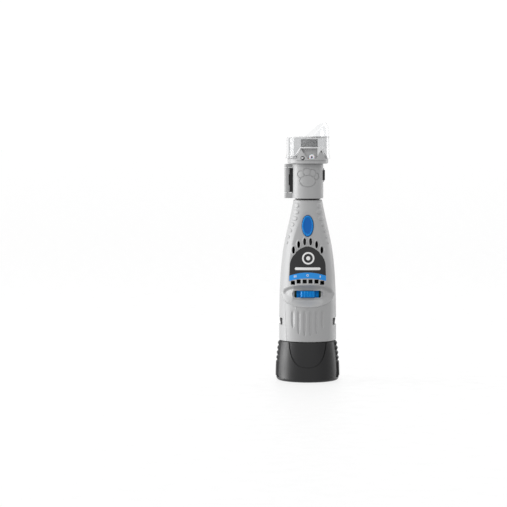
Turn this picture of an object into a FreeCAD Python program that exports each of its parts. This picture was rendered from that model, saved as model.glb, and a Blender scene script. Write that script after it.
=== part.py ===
"""A cordless pet nail grinder that stands upright on its battery pack.

The rotary tool has a two-piece tapered housing, a brushed motor, a spindle with a collet, a
shaft-lock button and a sideways speed slider. A battery pack with two squeeze latches plugs in
from below. A hinged clamp collar on the nose carries a turning ring and a clear nail guard.
Millimetres, +Z up along the spindle, origin at the centre of the foot, controls facing -Y.
"""

import FreeCAD
import Part
import math
import os

# ---- driving dimensions ------------------------------------------------------------------------

# Housing: a straight lower barrel of LOW_R that tapers along one cubic curve to the neck of NECK_R.
LOW_R = 20.95
NECK_R = 10.6
SEAM_Z = 29.2
CURVE_Z = 38.0
SHOULDER_Z = 101.5
SHOULDER_R = 15.9
NECK_Z = 131.5
HOUSING_TOP = 132.2
WALL = 1.9
NECK_BORE_Z = 124.0
NECK_BORE_R = 8.6

# Battery pack: flares from the seam down to the foot.
FOOT_R = 22.9
FOOT_Z = 3.0
PACK_TOP = 28.9
BASE_Z = 2.4
BASE_EDGE_R = 21.6
TOWER_R = 16.4
TOWER_FLAT = 15.3
TOWER_TOP = 54.3
TOWER_CAP_TOP = 57.0
CELL_R = 7.0
CELL_FROM = 4.4
CELL_TO = 53.4
PACK_WALL = 2.0

# Squeeze latches on the pack's two sides.
LATCH_HALF = 8.9
LATCH_PROUD = 0.6
LATCH_PIVOT_X = 18.8
LATCH_PIVOT_Z = 5.5
LATCH_PIN_R = 0.8
LATCH_POCKET_X = 15.9
LATCH_ARM_X = (16.8, 18.0)
LATCH_ARM_HALF = 5.5
LATCH_ARM_TOP = 46.0
LATCH_RIBS = 4
LATCH_RIB_PITCH = 3.6
WINDOW_Z = (40.9, 45.9)
WINDOW_HALF = 9.6

# Front panel: a wider lathe form, turned about an axis behind the spindle, cuts the tapered housing in a
# pointed arch. Its reach from the spindle is one cubic curve between two heights, and it flares out below.
PANEL_AXIS_Y = 25.0
PANEL_REACH = (17.0, 16.9, 14.1, 12.2)
PANEL_Z = (71.0, 123.4)
PANEL_SILL_Z = (71.2, 75.0)
PANEL_SILL_REACH = 20.6
PANEL_STEPS = 12

# Front face: button, vents, label, dished switch pocket, flutes.
BUTTON_Z = 113.6
BUTTON_SIZE = (4.05, 7.5)
BUTTON_TRAVEL = 2.4
BUTTON_PROUD = 0.9
LOCK_PIN_R = 1.3
LOCK_PIN_Y = (-12.4, -5.9)
LOCK_GUIDE_Y = -6.3
LOCK_SPRING_R = 1.88
LOCK_SPRING_END_Y = -10.8
CLAW_VENTS = ((2.15, 102.1), (6.5, 100.0), (10.3, 96.0))
CLAW_SIZE = (1.0, 2.6)
SQUARE_VENTS = ((2.1, 73.7), (6.5, 73.4), (10.6, 72.6))
SQUARE_SIZE = (1.35, 1.25)
LABEL_HALF = 13.0
LABEL_Z = (75.8, 98.9)
LABEL_DOME = 13.7
LABEL_PROUD = 0.05
LABEL_THICK = 0.4
DISH_Z = 64.8
DISH_HALF = 19.1
DISH_UP = 6.3
DISH_DOWN = 9.8
DISH_DEPTH = 1.2
DISH_FULLNESS = 0.62
LAND_Y = 16.0
LAND_SIZE = (13.6, 5.0)
LAND_WALL = 2.0
SLOT_HALF = 9.65
SLOT_UP = 2.6
SLOT_Z = 64.0
SLIDER_TRAVEL = 4.0
SHUTTER_HALF = (8.5, 3.4)
FLUTES = ((2.1, 34.0), (6.4, 35.6), (10.7, 39.6))
FLUTE_TOP = 52.5
FLUTE_R = 1.5
TONGUE_HALF = 13.5
TONGUE_DROP = 18.0
TONGUE_LINE = 0.8
TONGUE_LINE_DEPTH = 0.5
GRIP_BUMPS = ((128.3, 8.3, 2.0), (123.6, 8.8, 1.9), (118.9, 9.8, 1.7), (114.5, 11.5, 1.6),
              (110.0, 12.9, 1.4), (105.4, 14.2, 1.2), (101.2, 15.4, 1.0))

# Screws that join the housing halves: x and z, used left and right.
HOUSING_SCREWS = ((14.2, 66.8), (8.7, 107.5))
BOSS_R = 2.4

# Spindle line.
SPINDLE_R = 3.0
SPINDLE_BORE_R = 2.05
TAIL_R = 2.1
LOCK_R = 5.4
LOCK_Z = (111.9, 115.3)
COLLET_R = 2.3
COLLET_BORE_R = 1.62
COLLET_Z = (148.0, 171.5)
THREAD_R = 4.0
THREAD_TOP = 166.0
NUT_Z = (160.8, 172.6)
NUT_MOUTH_R = 2.3
BEARINGS = {"rear": 119.0, "front": 137.5}
BEARING_WIDTH = 4.0
BEARING_R = (6.5, 5.3, 4.0, 3.0)
BALLS = 9
BALL_R = 0.62

# Motor.
MOTOR_R = 12.2
MOTOR_Z = (73.0, 103.0)
END_CAP_Z = 69.5
MOTOR_SHAFT_R = 1.15

# Clamp collar, ring and clear guard on the nose.
BUSHING_R = 8.5
BUSHING_Z = 117.8
NOSE_R = 9.4
NOSE_TOP = 160.0
COLLAR_Z = (133.4, 158.4)
COLLAR_R = 11.6
COLLAR_IN = 10.3
PAW_LINE = 0.6
PAW_DEPTH = 0.4
PAD_IN = 9.6
HINGE_X = -15.2
KNUCKLE_R = 2.1
HINGE_PIN_R = 0.9
GATE_ARM_TOP_Z = 155.9
GATE_ARM_LOW_Z = 137.2
FLAT_X = 11.3
COLLAR_FLANK_X = -10.8
PLATE_X = (-13.95, -10.5)
PLATE_Y = (0.3, 1.15)
PLATE_Z = (138.2, 155.0)
PLATE_WAIST_Z = (142.8, 150.8)
GUARD_TURN = 11.0
RING_Z = (158.7, 162.4)
RING_R = 14.9
RING_EDGE = 1.1
RING_BORE = 10.72
TONGUE_WALL_R = (13.1, 11.8)
RING_TONGUE_HALF = 5.95
RING_TONGUE_TOP = 176.7
RING_TONGUE_TURN = -6.0
SPIGOT_R = 10.65
TAB_R = 2.0
TAB_EYE_R = 0.75
GUARD_R = 15.6
GUARD_WALL = 1.25
GUARD_FOOT = 162.6
GUARD_TOP = 178.6
DOME_Z = 181.2
DOME_R = 14.0
HOOD_FROM_X = 0.2
HOOD_TIP = (12.6, 189.8)
NAIL_HOLE_R = 6.0
NAIL_HOLE_X = (-3.0, 0.0)
NOTCH_HALF = (12.0, 8.0)
NOTCH_TOP = 170.4

RUNNING_GAP = 0.05
MAKE_GAP = 0.3
FAR = 80.0


# ---- helpers -----------------------------------------------------------------------------------

def vec(x, y, z):
    return FreeCAD.Vector(x, y, z)


def box(x0, x1, y0, y1, z0, z1):
    return Part.makeBox(x1 - x0, y1 - y0, z1 - z0, vec(x0, y0, z0))


def cylinder(radius, z0, z1, x=0.0, y=0.0):
    return Part.makeCylinder(radius, z1 - z0, vec(x, y, z0))


def tube(outer, inner, z0, z1, x=0.0, y=0.0):
    return cylinder(outer, z0, z1, x, y).cut(cylinder(inner, z0 - 1, z1 + 1, x, y))


def cylinder_y(radius, y0, y1, x, z):
    return Part.makeCylinder(radius, y1 - y0, vec(x, y0, z), vec(0, 1, 0))


def lathe_edges(edges):
    """A solid turned about Z from a closed outline of edges in the XZ half plane."""
    return Part.Face(Part.Wire(edges)).revolve(vec(0, 0, 0), vec(0, 0, 1), 360)


def lathe(outline):
    """A solid turned about Z from straight-sided (radius, z) corners."""
    points = [vec(r, 0, z) for r, z in outline]
    return Part.Face(Part.makePolygon(points + points[:1])).revolve(vec(0, 0, 0), vec(0, 0, 1), 360)


def line(a, b):
    return Part.LineSegment(vec(a[0], 0, a[1]), vec(b[0], 0, b[1])).toShape()


def bezier(poles):
    curve = Part.BezierCurve()
    curve.setPoles([vec(r, 0, z) for r, z in poles])
    return curve.toShape()


def arc(a, b, c):
    return Part.Arc(vec(a[0], 0, a[1]), vec(b[0], 0, b[1]), vec(c[0], 0, c[1])).toShape()


def prism_y(edges, y0, y1):
    """A closed XZ outline pushed from y0 to y1."""
    wire = Part.Wire(edges)
    wire.translate(vec(0, y0, 0))
    return Part.Face(wire).extrude(vec(0, y1 - y0, 0))


def polygon_y(corners, y0, y1):
    edges = [line(a, b) for a, b in zip(corners, corners[1:] + corners[:1])]
    return prism_y(edges, y0, y1)


def oval_y(x, z, half_x, half_z, y0, y1):
    """An elliptical prism along Y."""
    long_x = half_x >= half_z
    axis = vec(1, 0, 0) if long_x else vec(0, 0, 1)
    side = vec(0, 0, 1) if long_x else vec(1, 0, 0)
    centre = vec(x, y0, z)
    big, small = max(half_x, half_z), min(half_x, half_z)
    ellipse = Part.Ellipse(centre + axis * big, centre + side * small, centre)
    return Part.Face(Part.Wire(ellipse.toShape())).extrude(vec(0, y1 - y0, 0))


def mirrored(shape):
    """The same piece on the other side of the YZ plane."""
    return shape.mirror(vec(0, 0, 0), vec(1, 0, 0))


def both_sides(shape):
    return [shape, mirrored(shape)]


def turned(shape, degrees, x=0.0, y=0.0):
    copy = shape.copy()
    copy.rotate(vec(x, y, 0), vec(0, 0, 1), degrees)
    return copy


def fuse(shapes):
    return shapes[0].multiFuse(shapes[1:]).removeSplitter()


def save(name, *shapes):
    solids = [s for shape in shapes for s in shape.Solids]
    if not solids:
        raise SystemExit(name + " has no solid")
    for solid in solids:
        if not solid.isValid() or solid.Volume <= 0:
            raise SystemExit(name + " is not a valid solid")
    whole = solids[0] if len(solids) == 1 else Part.makeCompound(solids)
    whole.exportStep("parts/" + name + ".step")


def coil_spring(radius, wire_r, turns, start, direction, length):
    """A round-wire compression spring of that free length from start along direction."""
    helix = Part.makeHelix((length - 2 * wire_r) / turns, length - 2 * wire_r, radius)
    profile = Part.Wire(Part.makeCircle(wire_r, vec(radius, 0, 0), vec(0, 1, 0)))
    solid = Part.Wire(helix).makePipeShell([profile], True, True)
    solid.translate(vec(0, 0, wire_r))
    turn = FreeCAD.Rotation(vec(0, 0, 1), direction)
    solid.Placement = FreeCAD.Placement(start, turn).multiply(solid.Placement)
    return solid


def wire_run(points, radius):
    """A round wire along straight runs joined by tangent arcs as large as the runs allow."""
    at = [vec(*p) for p in points]
    edges = []
    here = at[0]
    for before, corner, after in zip(at, at[1:], at[2:]):
        into = (corner - before).normalize()
        out = (after - corner).normalize()
        half_turn = into.getAngle(out) / 2
        back = 0.45 * min((corner - before).Length, (after - corner).Length)
        bend = back / math.tan(half_turn)
        start, end = corner - into * back, corner + out * back
        to_centre = (out - into).normalize()
        middle = corner + to_centre * (bend / math.cos(half_turn) - bend)
        edges += [Part.LineSegment(here, start).toShape(), Part.Arc(start, middle, end).toShape()]
        here = end
    edges.append(Part.LineSegment(here, at[-1]).toShape())
    direction = at[1] - at[0]
    profile = Part.Wire(Part.makeCircle(radius, at[0], direction))
    return Part.Wire(edges).makePipeShell([profile], True, False)


# ---- outer forms -------------------------------------------------------------------------------

def housing_form(offset, z0, z1):
    """The housing's outer form, grown by offset, between two heights."""
    low, neck = LOW_R + offset, NECK_R + offset
    top = HOUSING_TOP + 4
    edges = [
        line((0, 0), (low, 0)),
        line((low, 0), (low, CURVE_Z)),
        bezier([(low, CURVE_Z), (low, SHOULDER_Z), (SHOULDER_R + offset, SHOULDER_Z), (neck, NECK_Z)]),
        line((neck, NECK_Z), (neck, top)),
        line((neck, top), (0, top)),
        line((0, top), (0, 0)),
    ]
    return lathe_edges(edges).common(box(-FAR, FAR, -FAR, FAR, z0, z1))


def housing_radius(z):
    """The housing's outer radius at a height on its tapered curve."""
    low, high = 0.0, 1.0
    for _ in range(40):
        t = (low + high) / 2
        at_z = ((1 - t) ** 3 * CURVE_Z + 3 * (1 - t) * t * SHOULDER_Z + t ** 3 * NECK_Z)
        if at_z < z:
            low = t
        else:
            high = t
    s = 1 - t
    return (s ** 3 + 3 * s * s * t) * LOW_R + 3 * s * t * t * SHOULDER_R + t ** 3 * NECK_R


def pack_form(offset, z0, z1):
    """The battery pack's outer form, grown by offset, between two heights."""
    foot, top = FOOT_R + offset, LOW_R + offset
    edges = [
        line((0, -1), (foot, -1)),
        line((foot, -1), (foot, FOOT_Z)),
        bezier([(foot, FOOT_Z), (foot, (FOOT_Z + PACK_TOP) / 2), (top, PACK_TOP)]),
        line((top, PACK_TOP), (0, PACK_TOP)),
        line((0, PACK_TOP), (0, -1)),
    ]
    return lathe_edges(edges).common(box(-FAR, FAR, -FAR, FAR, z0, z1))


def panel_reach(z):
    """How far in front of the spindle the flat panel lies, at a height."""
    t = (z - PANEL_Z[0]) / (PANEL_Z[1] - PANEL_Z[0])
    a, b, c, d = PANEL_REACH
    return (1 - t) ** 3 * a + 3 * (1 - t) ** 2 * t * b + 3 * (1 - t) * t * t * c + t ** 3 * d


def panel_space(offset):
    """All that lies behind the front panel, grown by offset, with room for the rest of the body."""
    low, high = PANEL_Z
    sill_low, sill_high = PANEL_SILL_Z
    far = PANEL_AXIS_Y + FAR
    steps = [sill_high + (high - sill_high) * i / PANEL_STEPS for i in range(PANEL_STEPS + 1)]
    face = Part.BSplineCurve()
    face.interpolate([vec(PANEL_AXIS_Y + panel_reach(z) + offset, 0, z) for z in steps])
    foot = (PANEL_AXIS_Y + PANEL_SILL_REACH + offset, sill_low)
    start = (PANEL_AXIS_Y + panel_reach(sill_high) + offset, sill_high)
    end = (PANEL_AXIS_Y + panel_reach(high) + offset, high)
    edges = [
        line((0, 0), (far, 0)),
        line((far, 0), (far, sill_low)),
        line((far, sill_low), foot),
        line(foot, start),
        face.toShape(),
        line(end, (far, high)),
        line((far, high), (far, 2 * FAR)),
        line((far, 2 * FAR), (0, 2 * FAR)),
        line((0, 2 * FAR), (0, 0)),
    ]
    solid = lathe_edges(edges)
    solid.translate(vec(0, PANEL_AXIS_Y, 0))
    return solid


def front_half(shape):
    return shape.common(box(-FAR, FAR, -FAR, 0, -FAR, 3 * FAR))


def rear_half(shape):
    return shape.common(box(-FAR, FAR, 0, FAR, -FAR, 3 * FAR))


# ---- housing -----------------------------------------------------------------------------------

def housing_inside(depth):
    """The room inside the housing, at a depth below its outer faces."""
    return housing_form(-depth, SEAM_Z - 1, NECK_BORE_Z).common(panel_space(-depth))


def housing_shell():
    """Both halves as one tapered shell, open below, with a bored neck and the two latch windows."""
    shell = housing_form(0, SEAM_Z, HOUSING_TOP).common(panel_space(0))
    shell = shell.cut(housing_inside(WALL))
    shell = shell.cut(cylinder(NECK_BORE_R, NECK_BORE_Z - 1, HOUSING_TOP + 1))
    window = box(LATCH_POCKET_X, FAR, -WINDOW_HALF, WINDOW_HALF, *WINDOW_Z)
    return shell.cut(Part.makeCompound(both_sides(window)))


def screw_bosses(y0, y1):
    """Screw pillars between two depths, trimmed to the inside of the shell."""
    inside = housing_inside(WALL - 0.2)
    pillars = []
    for x, z in HOUSING_SCREWS:
        pillars += both_sides(cylinder_y(BOSS_R, y0, y1, x, z))
    return [p.common(inside) for p in pillars]


def pocket_outline(grow):
    """The switch pocket's full oval outline, grown by a margin."""
    half, up, down = DISH_HALF + grow, DISH_UP + grow, DISH_DOWN + grow
    edges = []
    for side, rise in ((-1, up), (1, up), (1, -down), (-1, -down)):
        tip, pole = (side * half, DISH_Z), (0, DISH_Z + rise)
        quarter = [tip, (side * half, DISH_Z + DISH_FULLNESS * rise),
                   (side * DISH_FULLNESS * half, DISH_Z + rise), pole]
        edges.append(bezier(quarter if side * rise < 0 else quarter[::-1]))
    return edges


def switch_pocket():
    """The dished pocket round the speed slider, with a flat land and a through slot."""
    dish = prism_y(pocket_outline(0), -FAR, 0).cut(housing_form(-DISH_DEPTH, 0, HOUSING_TOP))
    land = oval_y(0, SLOT_Z, LAND_SIZE[0], LAND_SIZE[1], -FAR, -LAND_Y)
    slot = box(-SLOT_HALF, SLOT_HALF, -FAR, 0, SLOT_Z - SLOT_UP, SLOT_Z + SLOT_UP)
    reach = SHUTTER_HALF[0] + SLIDER_TRAVEL + 0.4
    shutter_room = box(-reach, reach, -LAND_Y + LAND_WALL, -8, SLOT_Z - SHUTTER_HALF[1] - 0.3,
                       SLOT_Z + SHUTTER_HALF[1] + 0.3)
    return [dish, land, slot, shutter_room]


def switch_wall():
    """The thickened wall behind the flat land."""
    pad = oval_y(0, SLOT_Z, LAND_SIZE[0] + 1.5, LAND_SIZE[1] + 1.5, -FAR, -LAND_Y + LAND_WALL)
    return pad.common(housing_form(-0.5, SEAM_Z, NECK_BORE_Z)).cut(
        housing_form(-WALL - 6, SEAM_Z, NECK_BORE_Z))


def front_vents():
    cuts = []
    for x, z in CLAW_VENTS:
        cuts += both_sides(oval_y(x, z, CLAW_SIZE[0], CLAW_SIZE[1], -FAR, -4))
    for x, z in SQUARE_VENTS:
        half_x, half_z = SQUARE_SIZE
        cuts += both_sides(box(x - half_x, x + half_x, -FAR, -4, z - half_z, z + half_z))
    return cuts


def flutes():
    """Six shallow round-ended grooves under the switch pocket."""
    cuts = []
    for x, low in FLUTES:
        depth_y = -math.sqrt(LOW_R ** 2 - x ** 2) - FLUTE_R + 0.55
        groove = cylinder(FLUTE_R, low + FLUTE_R, FLUTE_TOP, x, depth_y)
        end = Part.makeSphere(FLUTE_R, vec(x, depth_y, low + FLUTE_R))
        cuts += both_sides(groove) + both_sides(end)
    return cuts


def grip_bumps(front):
    """Low round grip bumps in two rows down the shoulders."""
    bumps = []
    for z, x, r in GRIP_BUMPS:
        surface = housing_radius(z)
        depth = math.sqrt(surface ** 2 - x ** 2)
        y = -depth if front else depth
        sphere = Part.makeSphere(r * 2.2, vec(x, y, z) * 1.0 - vec(x, y, 0) * ((r * 2.0) / surface))
        bumps += both_sides(sphere.cut(housing_form(-0.6, SEAM_Z, HOUSING_TOP + 4)))
    return bumps


def front_housing():
    shell = front_half(housing_shell())
    solid = fuse([shell, front_half(switch_wall())] + screw_bosses(-FAR, 0))
    solid = solid.cut(Part.makeCompound(switch_pocket() + front_vents() + flutes()))
    half_x, half_z = BUTTON_SIZE
    solid = solid.cut(oval_y(0, BUTTON_Z, half_x + MAKE_GAP, half_z + MAKE_GAP, -FAR, -6))
    solid = solid.cut(label_plate(0.0))
    for x, z in HOUSING_SCREWS:
        solid = solid.cut(Part.makeCompound(both_sides(cylinder_y(1.1, -5.0, 1, x, z))))
    return fuse([solid] + [b.common(box(-FAR, FAR, -FAR, -0.5, 0, 200)) for b in grip_bumps(True)])


def rear_housing():
    shell = rear_half(housing_shell())
    solid = fuse([shell] + screw_bosses(0, FAR))
    for x, z in HOUSING_SCREWS:
        seat = math.sqrt(housing_radius(z) ** 2 - x ** 2) - 3.2
        hole = cylinder_y(1.2, -1, FAR, x, z)
        head = cylinder_y(2.25, seat, FAR, x, z)
        solid = solid.cut(Part.makeCompound(both_sides(hole) + both_sides(head)))
    for x, z in CLAW_VENTS:
        solid = solid.cut(Part.makeCompound(both_sides(oval_y(x, z, CLAW_SIZE[0], CLAW_SIZE[1], 4, FAR))))
    return fuse([solid] + [b.common(box(-FAR, FAR, 0.5, FAR, 0, 200)) for b in grip_bumps(False)])


def housing_screws():
    screws = []
    for x, z in HOUSING_SCREWS:
        seat = math.sqrt(housing_radius(z) ** 2 - x ** 2) - 3.2
        shank = cylinder_y(1.0, -4.6, seat, x, z)
        head = cylinder_y(2.05, seat, seat + 1.5, x, z)
        cross = box(x - 1.3, x + 1.3, seat + 0.9, seat + 2, z - 0.25, z + 0.25).fuse(
            box(x - 0.25, x + 0.25, seat + 0.9, seat + 2, z - 1.3, z + 1.3))
        screws += both_sides(shank.fuse(head).cut(cross))
    return screws


def label_plate(shrink):
    """A thin dome-topped plate let into the front panel."""
    low, high = LABEL_Z
    half = LABEL_HALF - shrink
    top = high - shrink
    spring = top - LABEL_DOME
    edges = [
        line((-half, low + shrink), (-half, spring)),
        bezier([(-half, spring), (-half, spring + 6.1), (-5.8, top), (0, top)]),
        bezier([(0, top), (5.8, top), (half, spring + 6.1), (half, spring)]),
        line((half, spring), (half, low + shrink)),
        arc((half, low + shrink), (0, low + shrink + 1.8), (-half, low + shrink)),
    ]
    block = prism_y(edges, -FAR, -2).common(panel_space(LABEL_PROUD))
    return block.cut(panel_space(LABEL_PROUD - LABEL_THICK))


# ---- controls ----------------------------------------------------------------------------------

def lock_button():
    """The oval shaft-lock button: a cap with a sunken centre and two retaining ears inside the wall."""
    half_x, half_z = BUTTON_SIZE
    cap = oval_y(0, BUTTON_Z, half_x, half_z, -FAR, -4).common(panel_space(BUTTON_PROUD))
    centre = oval_y(0, BUTTON_Z, half_x - 1.2, half_z - 1.2, -FAR, -4).cut(panel_space(BUTTON_PROUD - 0.35))
    ears = box(-half_x - 1.0, half_x + 1.0, -FAR, -4, BUTTON_Z - 4.6, BUTTON_Z + 1.0)
    ears = ears.common(housing_inside(WALL + MAKE_GAP))
    back = panel_space(-WALL - 1.3)
    bushing_room = cylinder(BUSHING_R + BUTTON_TRAVEL + MAKE_GAP, BUSHING_Z - 0.8, 140)
    solid = fuse([cap.cut(back).cut(centre), ears.cut(back)]).cut(bushing_room)
    spring_seat = cylinder_y(LOCK_SPRING_R + 0.5, LOCK_SPRING_END_Y, 0, 0, BUTTON_Z)
    return solid.cut(spring_seat).cut(cylinder_y(LOCK_PIN_R, LOCK_PIN_Y[0], 0, 0, BUTTON_Z))


def lock_pin():
    return cylinder_y(LOCK_PIN_R, *LOCK_PIN_Y, 0, BUTTON_Z)


def lock_guide():
    """A small bridge that guides the lock pin and seats its spring."""
    plate = box(-6.2, 6.2, LOCK_GUIDE_Y - 0.8, LOCK_GUIDE_Y, BUTTON_Z - 4, BUTTON_Z + 4)
    legs = both_sides(box(5.4, 6.2, -FAR, LOCK_GUIDE_Y - 0.4, BUTTON_Z - 2.4, BUTTON_Z + 4))
    bridge = fuse([plate] + legs).common(housing_inside(WALL))
    return bridge.cut(cylinder_y(LOCK_PIN_R + RUNNING_GAP, -20, 0, 0, BUTTON_Z))


def lock_spring():
    """The return spring round the lock pin, between the guide and the button's back."""
    start = vec(0, LOCK_GUIDE_Y - 0.85, BUTTON_Z)
    length = start.y - LOCK_SPRING_END_Y - 0.05
    return coil_spring(LOCK_SPRING_R, 0.27, 3, start, vec(0, -1, 0), length)


def speed_slider():
    """The thumb slider: ribbed thumb piece in the slot, shutter behind the wall, drive lug at the back."""
    half_x, half_z = SHUTTER_HALF
    shutter = box(-half_x, half_x, -LAND_Y + 2.2, -LAND_Y + 3.4, SLOT_Z - half_z, SLOT_Z + half_z)
    thumb = box(-5.15, 5.15, -LAND_Y - 2.2, -LAND_Y + 2.4, SLOT_Z - 2.3, SLOT_Z + 2.3)
    lug = box(-1.0, 1.0, -LAND_Y + 3.4, -LAND_Y + 5.0, SLOT_Z - 1, SLOT_Z + 1)
    grooves = [-3.6, -1.8, 0, 1.8, 3.6]
    ribs = [box(x - 0.25, x + 0.25, -FAR, -LAND_Y - 1.7, SLOT_Z - 3, SLOT_Z + 3) for x in grooves]
    return fuse([shutter, thumb, lug]).cut(Part.makeCompound(ribs))


def slide_switch():
    body = box(-8, 8, -LAND_Y + 3.7, -9.4, SLOT_Z - 3.4, SLOT_Z + 3.4)
    return body.cut(box(-5.6, 5.6, -FAR, -LAND_Y + 5.3, SLOT_Z - 1.4, SLOT_Z + 1.4))


def circuit_board():
    return box(-11.4, 11.4, -9.4, -8.2, 58.9, 69.2)


def contact_block():
    """The moulded partition between the battery bay and the motor space."""
    disc = cylinder(18.5, 59.6, 61.6).cut(box(-FAR, FAR, -FAR, -7.8, 50, 70))
    slots = both_sides(box(5.0, 7.0, 1.5, 2.5, 50, 70))
    return disc.cut(Part.makeCompound(slots))


def contact_springs():
    """Two sprung blades that press on the pack's terminals."""
    blade = box(5.2, 6.8, 1.6, 2.4, 58.2, 64.2)
    foot = Part.makeCylinder(0.85, 1.6, vec(5.2, 2.0, 58.2), vec(1, 0, 0))
    return [fuse([s, f]) for s, f in zip(both_sides(blade), both_sides(foot))]


def motor_lead(side):
    """A short insulated lead from a contact blade to the circuit board."""
    points = [(6.0, 2.0, 64.3), (6.0, 2.0, 66.2), (7.6, -1.6, 67.4), (8.6, -5.2, 66.6), (8.8, -8.1, 66.4)]
    return wire_run([(side * x, y, z) for x, y, z in points], 0.6)


# ---- motor and spindle -------------------------------------------------------------------------

def motor_can():
    low, high = MOTOR_Z
    can = cylinder(MOTOR_R, low, high).cut(cylinder(MOTOR_R - 0.8, low - 1, high - 1.0))
    can = can.fuse(cylinder(3.2, high - 0.5, high + 0.9))
    return can.cut(cylinder(MOTOR_SHAFT_R + RUNNING_GAP, low, high + 2)).removeSplitter()


def motor_end_cap():
    low = MOTOR_Z[0]
    cap = cylinder(MOTOR_R - 0.1, END_CAP_Z, low)
    return cap.cut(cylinder(MOTOR_SHAFT_R + RUNNING_GAP, END_CAP_Z - 1, low + 1))


def motor_magnets():
    ring = tube(MOTOR_R - 0.8, 9.3, 78, 98)
    gap = box(-3.2, 3.2, -FAR, FAR, 70, 110)
    return ring.cut(gap)


def armature():
    """A three-pole laminated stack with wide winding slots."""
    stack = tube(8.9, MOTOR_SHAFT_R, 79, 95)
    slot = box(3.4, 7.4, -3.2, 3.2, 78, 96).fuse(box(7.0, 12, -0.9, 0.9, 78, 96))
    return stack.cut(Part.makeCompound([turned(slot, 30 + 120 * i) for i in range(3)]))


def windings():
    """Coils that fill the slots, with end turns above and below the stack."""
    slot = box(3.5, 7.2, -3.0, 3.0, 78.9, 95.1)
    rings = [tube(7.2, 3.5, 76.2, 78.9), tube(7.2, 3.5, 95.1, 97.8)]
    return fuse(rings + [turned(slot, 30 + 120 * i) for i in range(3)])


def commutator():
    drum = tube(3.2, MOTOR_SHAFT_R, 73.6, 75.9)
    return drum.cut(Part.makeCompound([turned(box(2.4, 4, -0.15, 0.15, 73, 77), 120 * i) for i in range(3)]))


def motor_brushes():
    return both_sides(box(3.3, 7.5, -1.2, 1.2, 73.8, 75.7))


def motor_shaft():
    return cylinder(MOTOR_SHAFT_R, END_CAP_Z - 1, 107)


def coupling():
    sleeve = cylinder(4.2, 104.6, 110)
    return sleeve.cut(cylinder(MOTOR_SHAFT_R, 104, 107)).cut(cylinder(TAIL_R, 107, 111))


def spindle_shaft():
    """The spindle: tail in the coupling, notched lock wheel, bearing seats and a bored, threaded nose."""
    solid = fuse([
        cylinder(TAIL_R, 107.2, 110.5),
        cylinder(SPINDLE_R, 110.4, 146),
        cylinder(LOCK_R, *LOCK_Z),
        cylinder(THREAD_R, 146, THREAD_TOP),
    ])
    notch = box(3.3, 8, -1.6, 1.6, 111, 116)
    solid = solid.cut(Part.makeCompound([turned(notch, 90 * i) for i in range(4)]))
    solid = solid.cut(cylinder(COLLET_R + 0.02, COLLET_Z[0], THREAD_TOP + 1))
    return solid.cut(cylinder(SPINDLE_BORE_R, 134, COLLET_Z[0] + 1))


def bearing(z):
    """Outer race, ball set and inner race of a small ball bearing."""
    outer, outer_in, inner, bore = BEARING_R
    top = z + BEARING_WIDTH
    middle = (outer_in + inner) / 2
    ball = Part.makeSphere(BALL_R, vec(middle, 0, z + BEARING_WIDTH / 2))
    balls = [turned(ball, 360 / BALLS * i) for i in range(BALLS)]
    return tube(outer, outer_in, z, top), Part.makeCompound(balls), tube(inner, bore, z, top)


def nose_bushing():
    """The bearing carrier clamped in the neck, threaded outside for the nose cap."""
    solid = fuse([cylinder(BUSHING_R, BUSHING_Z, HOUSING_TOP), cylinder(8.1, HOUSING_TOP, 143)])
    solid = solid.cut(cylinder(4.6, 110, 150))
    pockets = [cylinder(BEARING_R[0], 110, BEARINGS["rear"] + BEARING_WIDTH),
               cylinder(BEARING_R[0], BEARINGS["front"], 150)]
    return solid.cut(Part.makeCompound(pockets))


def nose_cap():
    outer = lathe([(0, 132.7), (NOSE_R, 132.7), (NOSE_R, 153.0), (6.9, NOSE_TOP), (0, NOSE_TOP)])
    inside = [cylinder(8.15, 130, 144.2), cylinder(4.7, 140, 170)]
    return outer.cut(Part.makeCompound(inside))


def collet():
    """A slit collet with a tapered lip."""
    low, high = COLLET_Z
    body = lathe([(0, low), (COLLET_R, low), (COLLET_R, 166.4), (3.1, 168.0), (3.1, 169.6),
                  (2.5, high), (0, high)])
    body = body.cut(cylinder(COLLET_BORE_R, low - 1, high + 1))
    slit = box(0, 6, -0.25, 0.25, 155, high + 1)
    return body.cut(Part.makeCompound([turned(slit, 45 + 90 * i) for i in range(4)]))


def collet_nut():
    """A hexagonal collet nut on a round skirt."""
    low, high = NUT_Z
    hexagon = [vec(6.0 * math.cos(math.radians(60 * i)), 6.0 * math.sin(math.radians(60 * i)), low + 2.4)
               for i in range(7)]
    body = Part.Face(Part.makePolygon(hexagon)).extrude(vec(0, 0, high - low - 2.4))
    trim = lathe([(0, low), (5.9, low), (5.9, high - 3.2), (4.2, high), (0, high)])
    body = fuse([body, cylinder(5.6, low, low + 2.5)]).common(trim)
    inside = lathe([(0, low - 1), (THREAD_R + RUNNING_GAP, low - 1), (THREAD_R + RUNNING_GAP, 167.4),
                    (3.3, 168.4), (3.3, 170.0), (2.65, high - 1.0), (NUT_MOUTH_R, high - 0.6),
                    (NUT_MOUTH_R, high + 1), (0, high + 1)])
    return body.cut(inside)


# ---- battery pack ------------------------------------------------------------------------------

def tower(radius, flat, z0, z1):
    return cylinder(radius, z0, z1).common(box(-flat, flat, -FAR, FAR, z0, z1))


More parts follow.
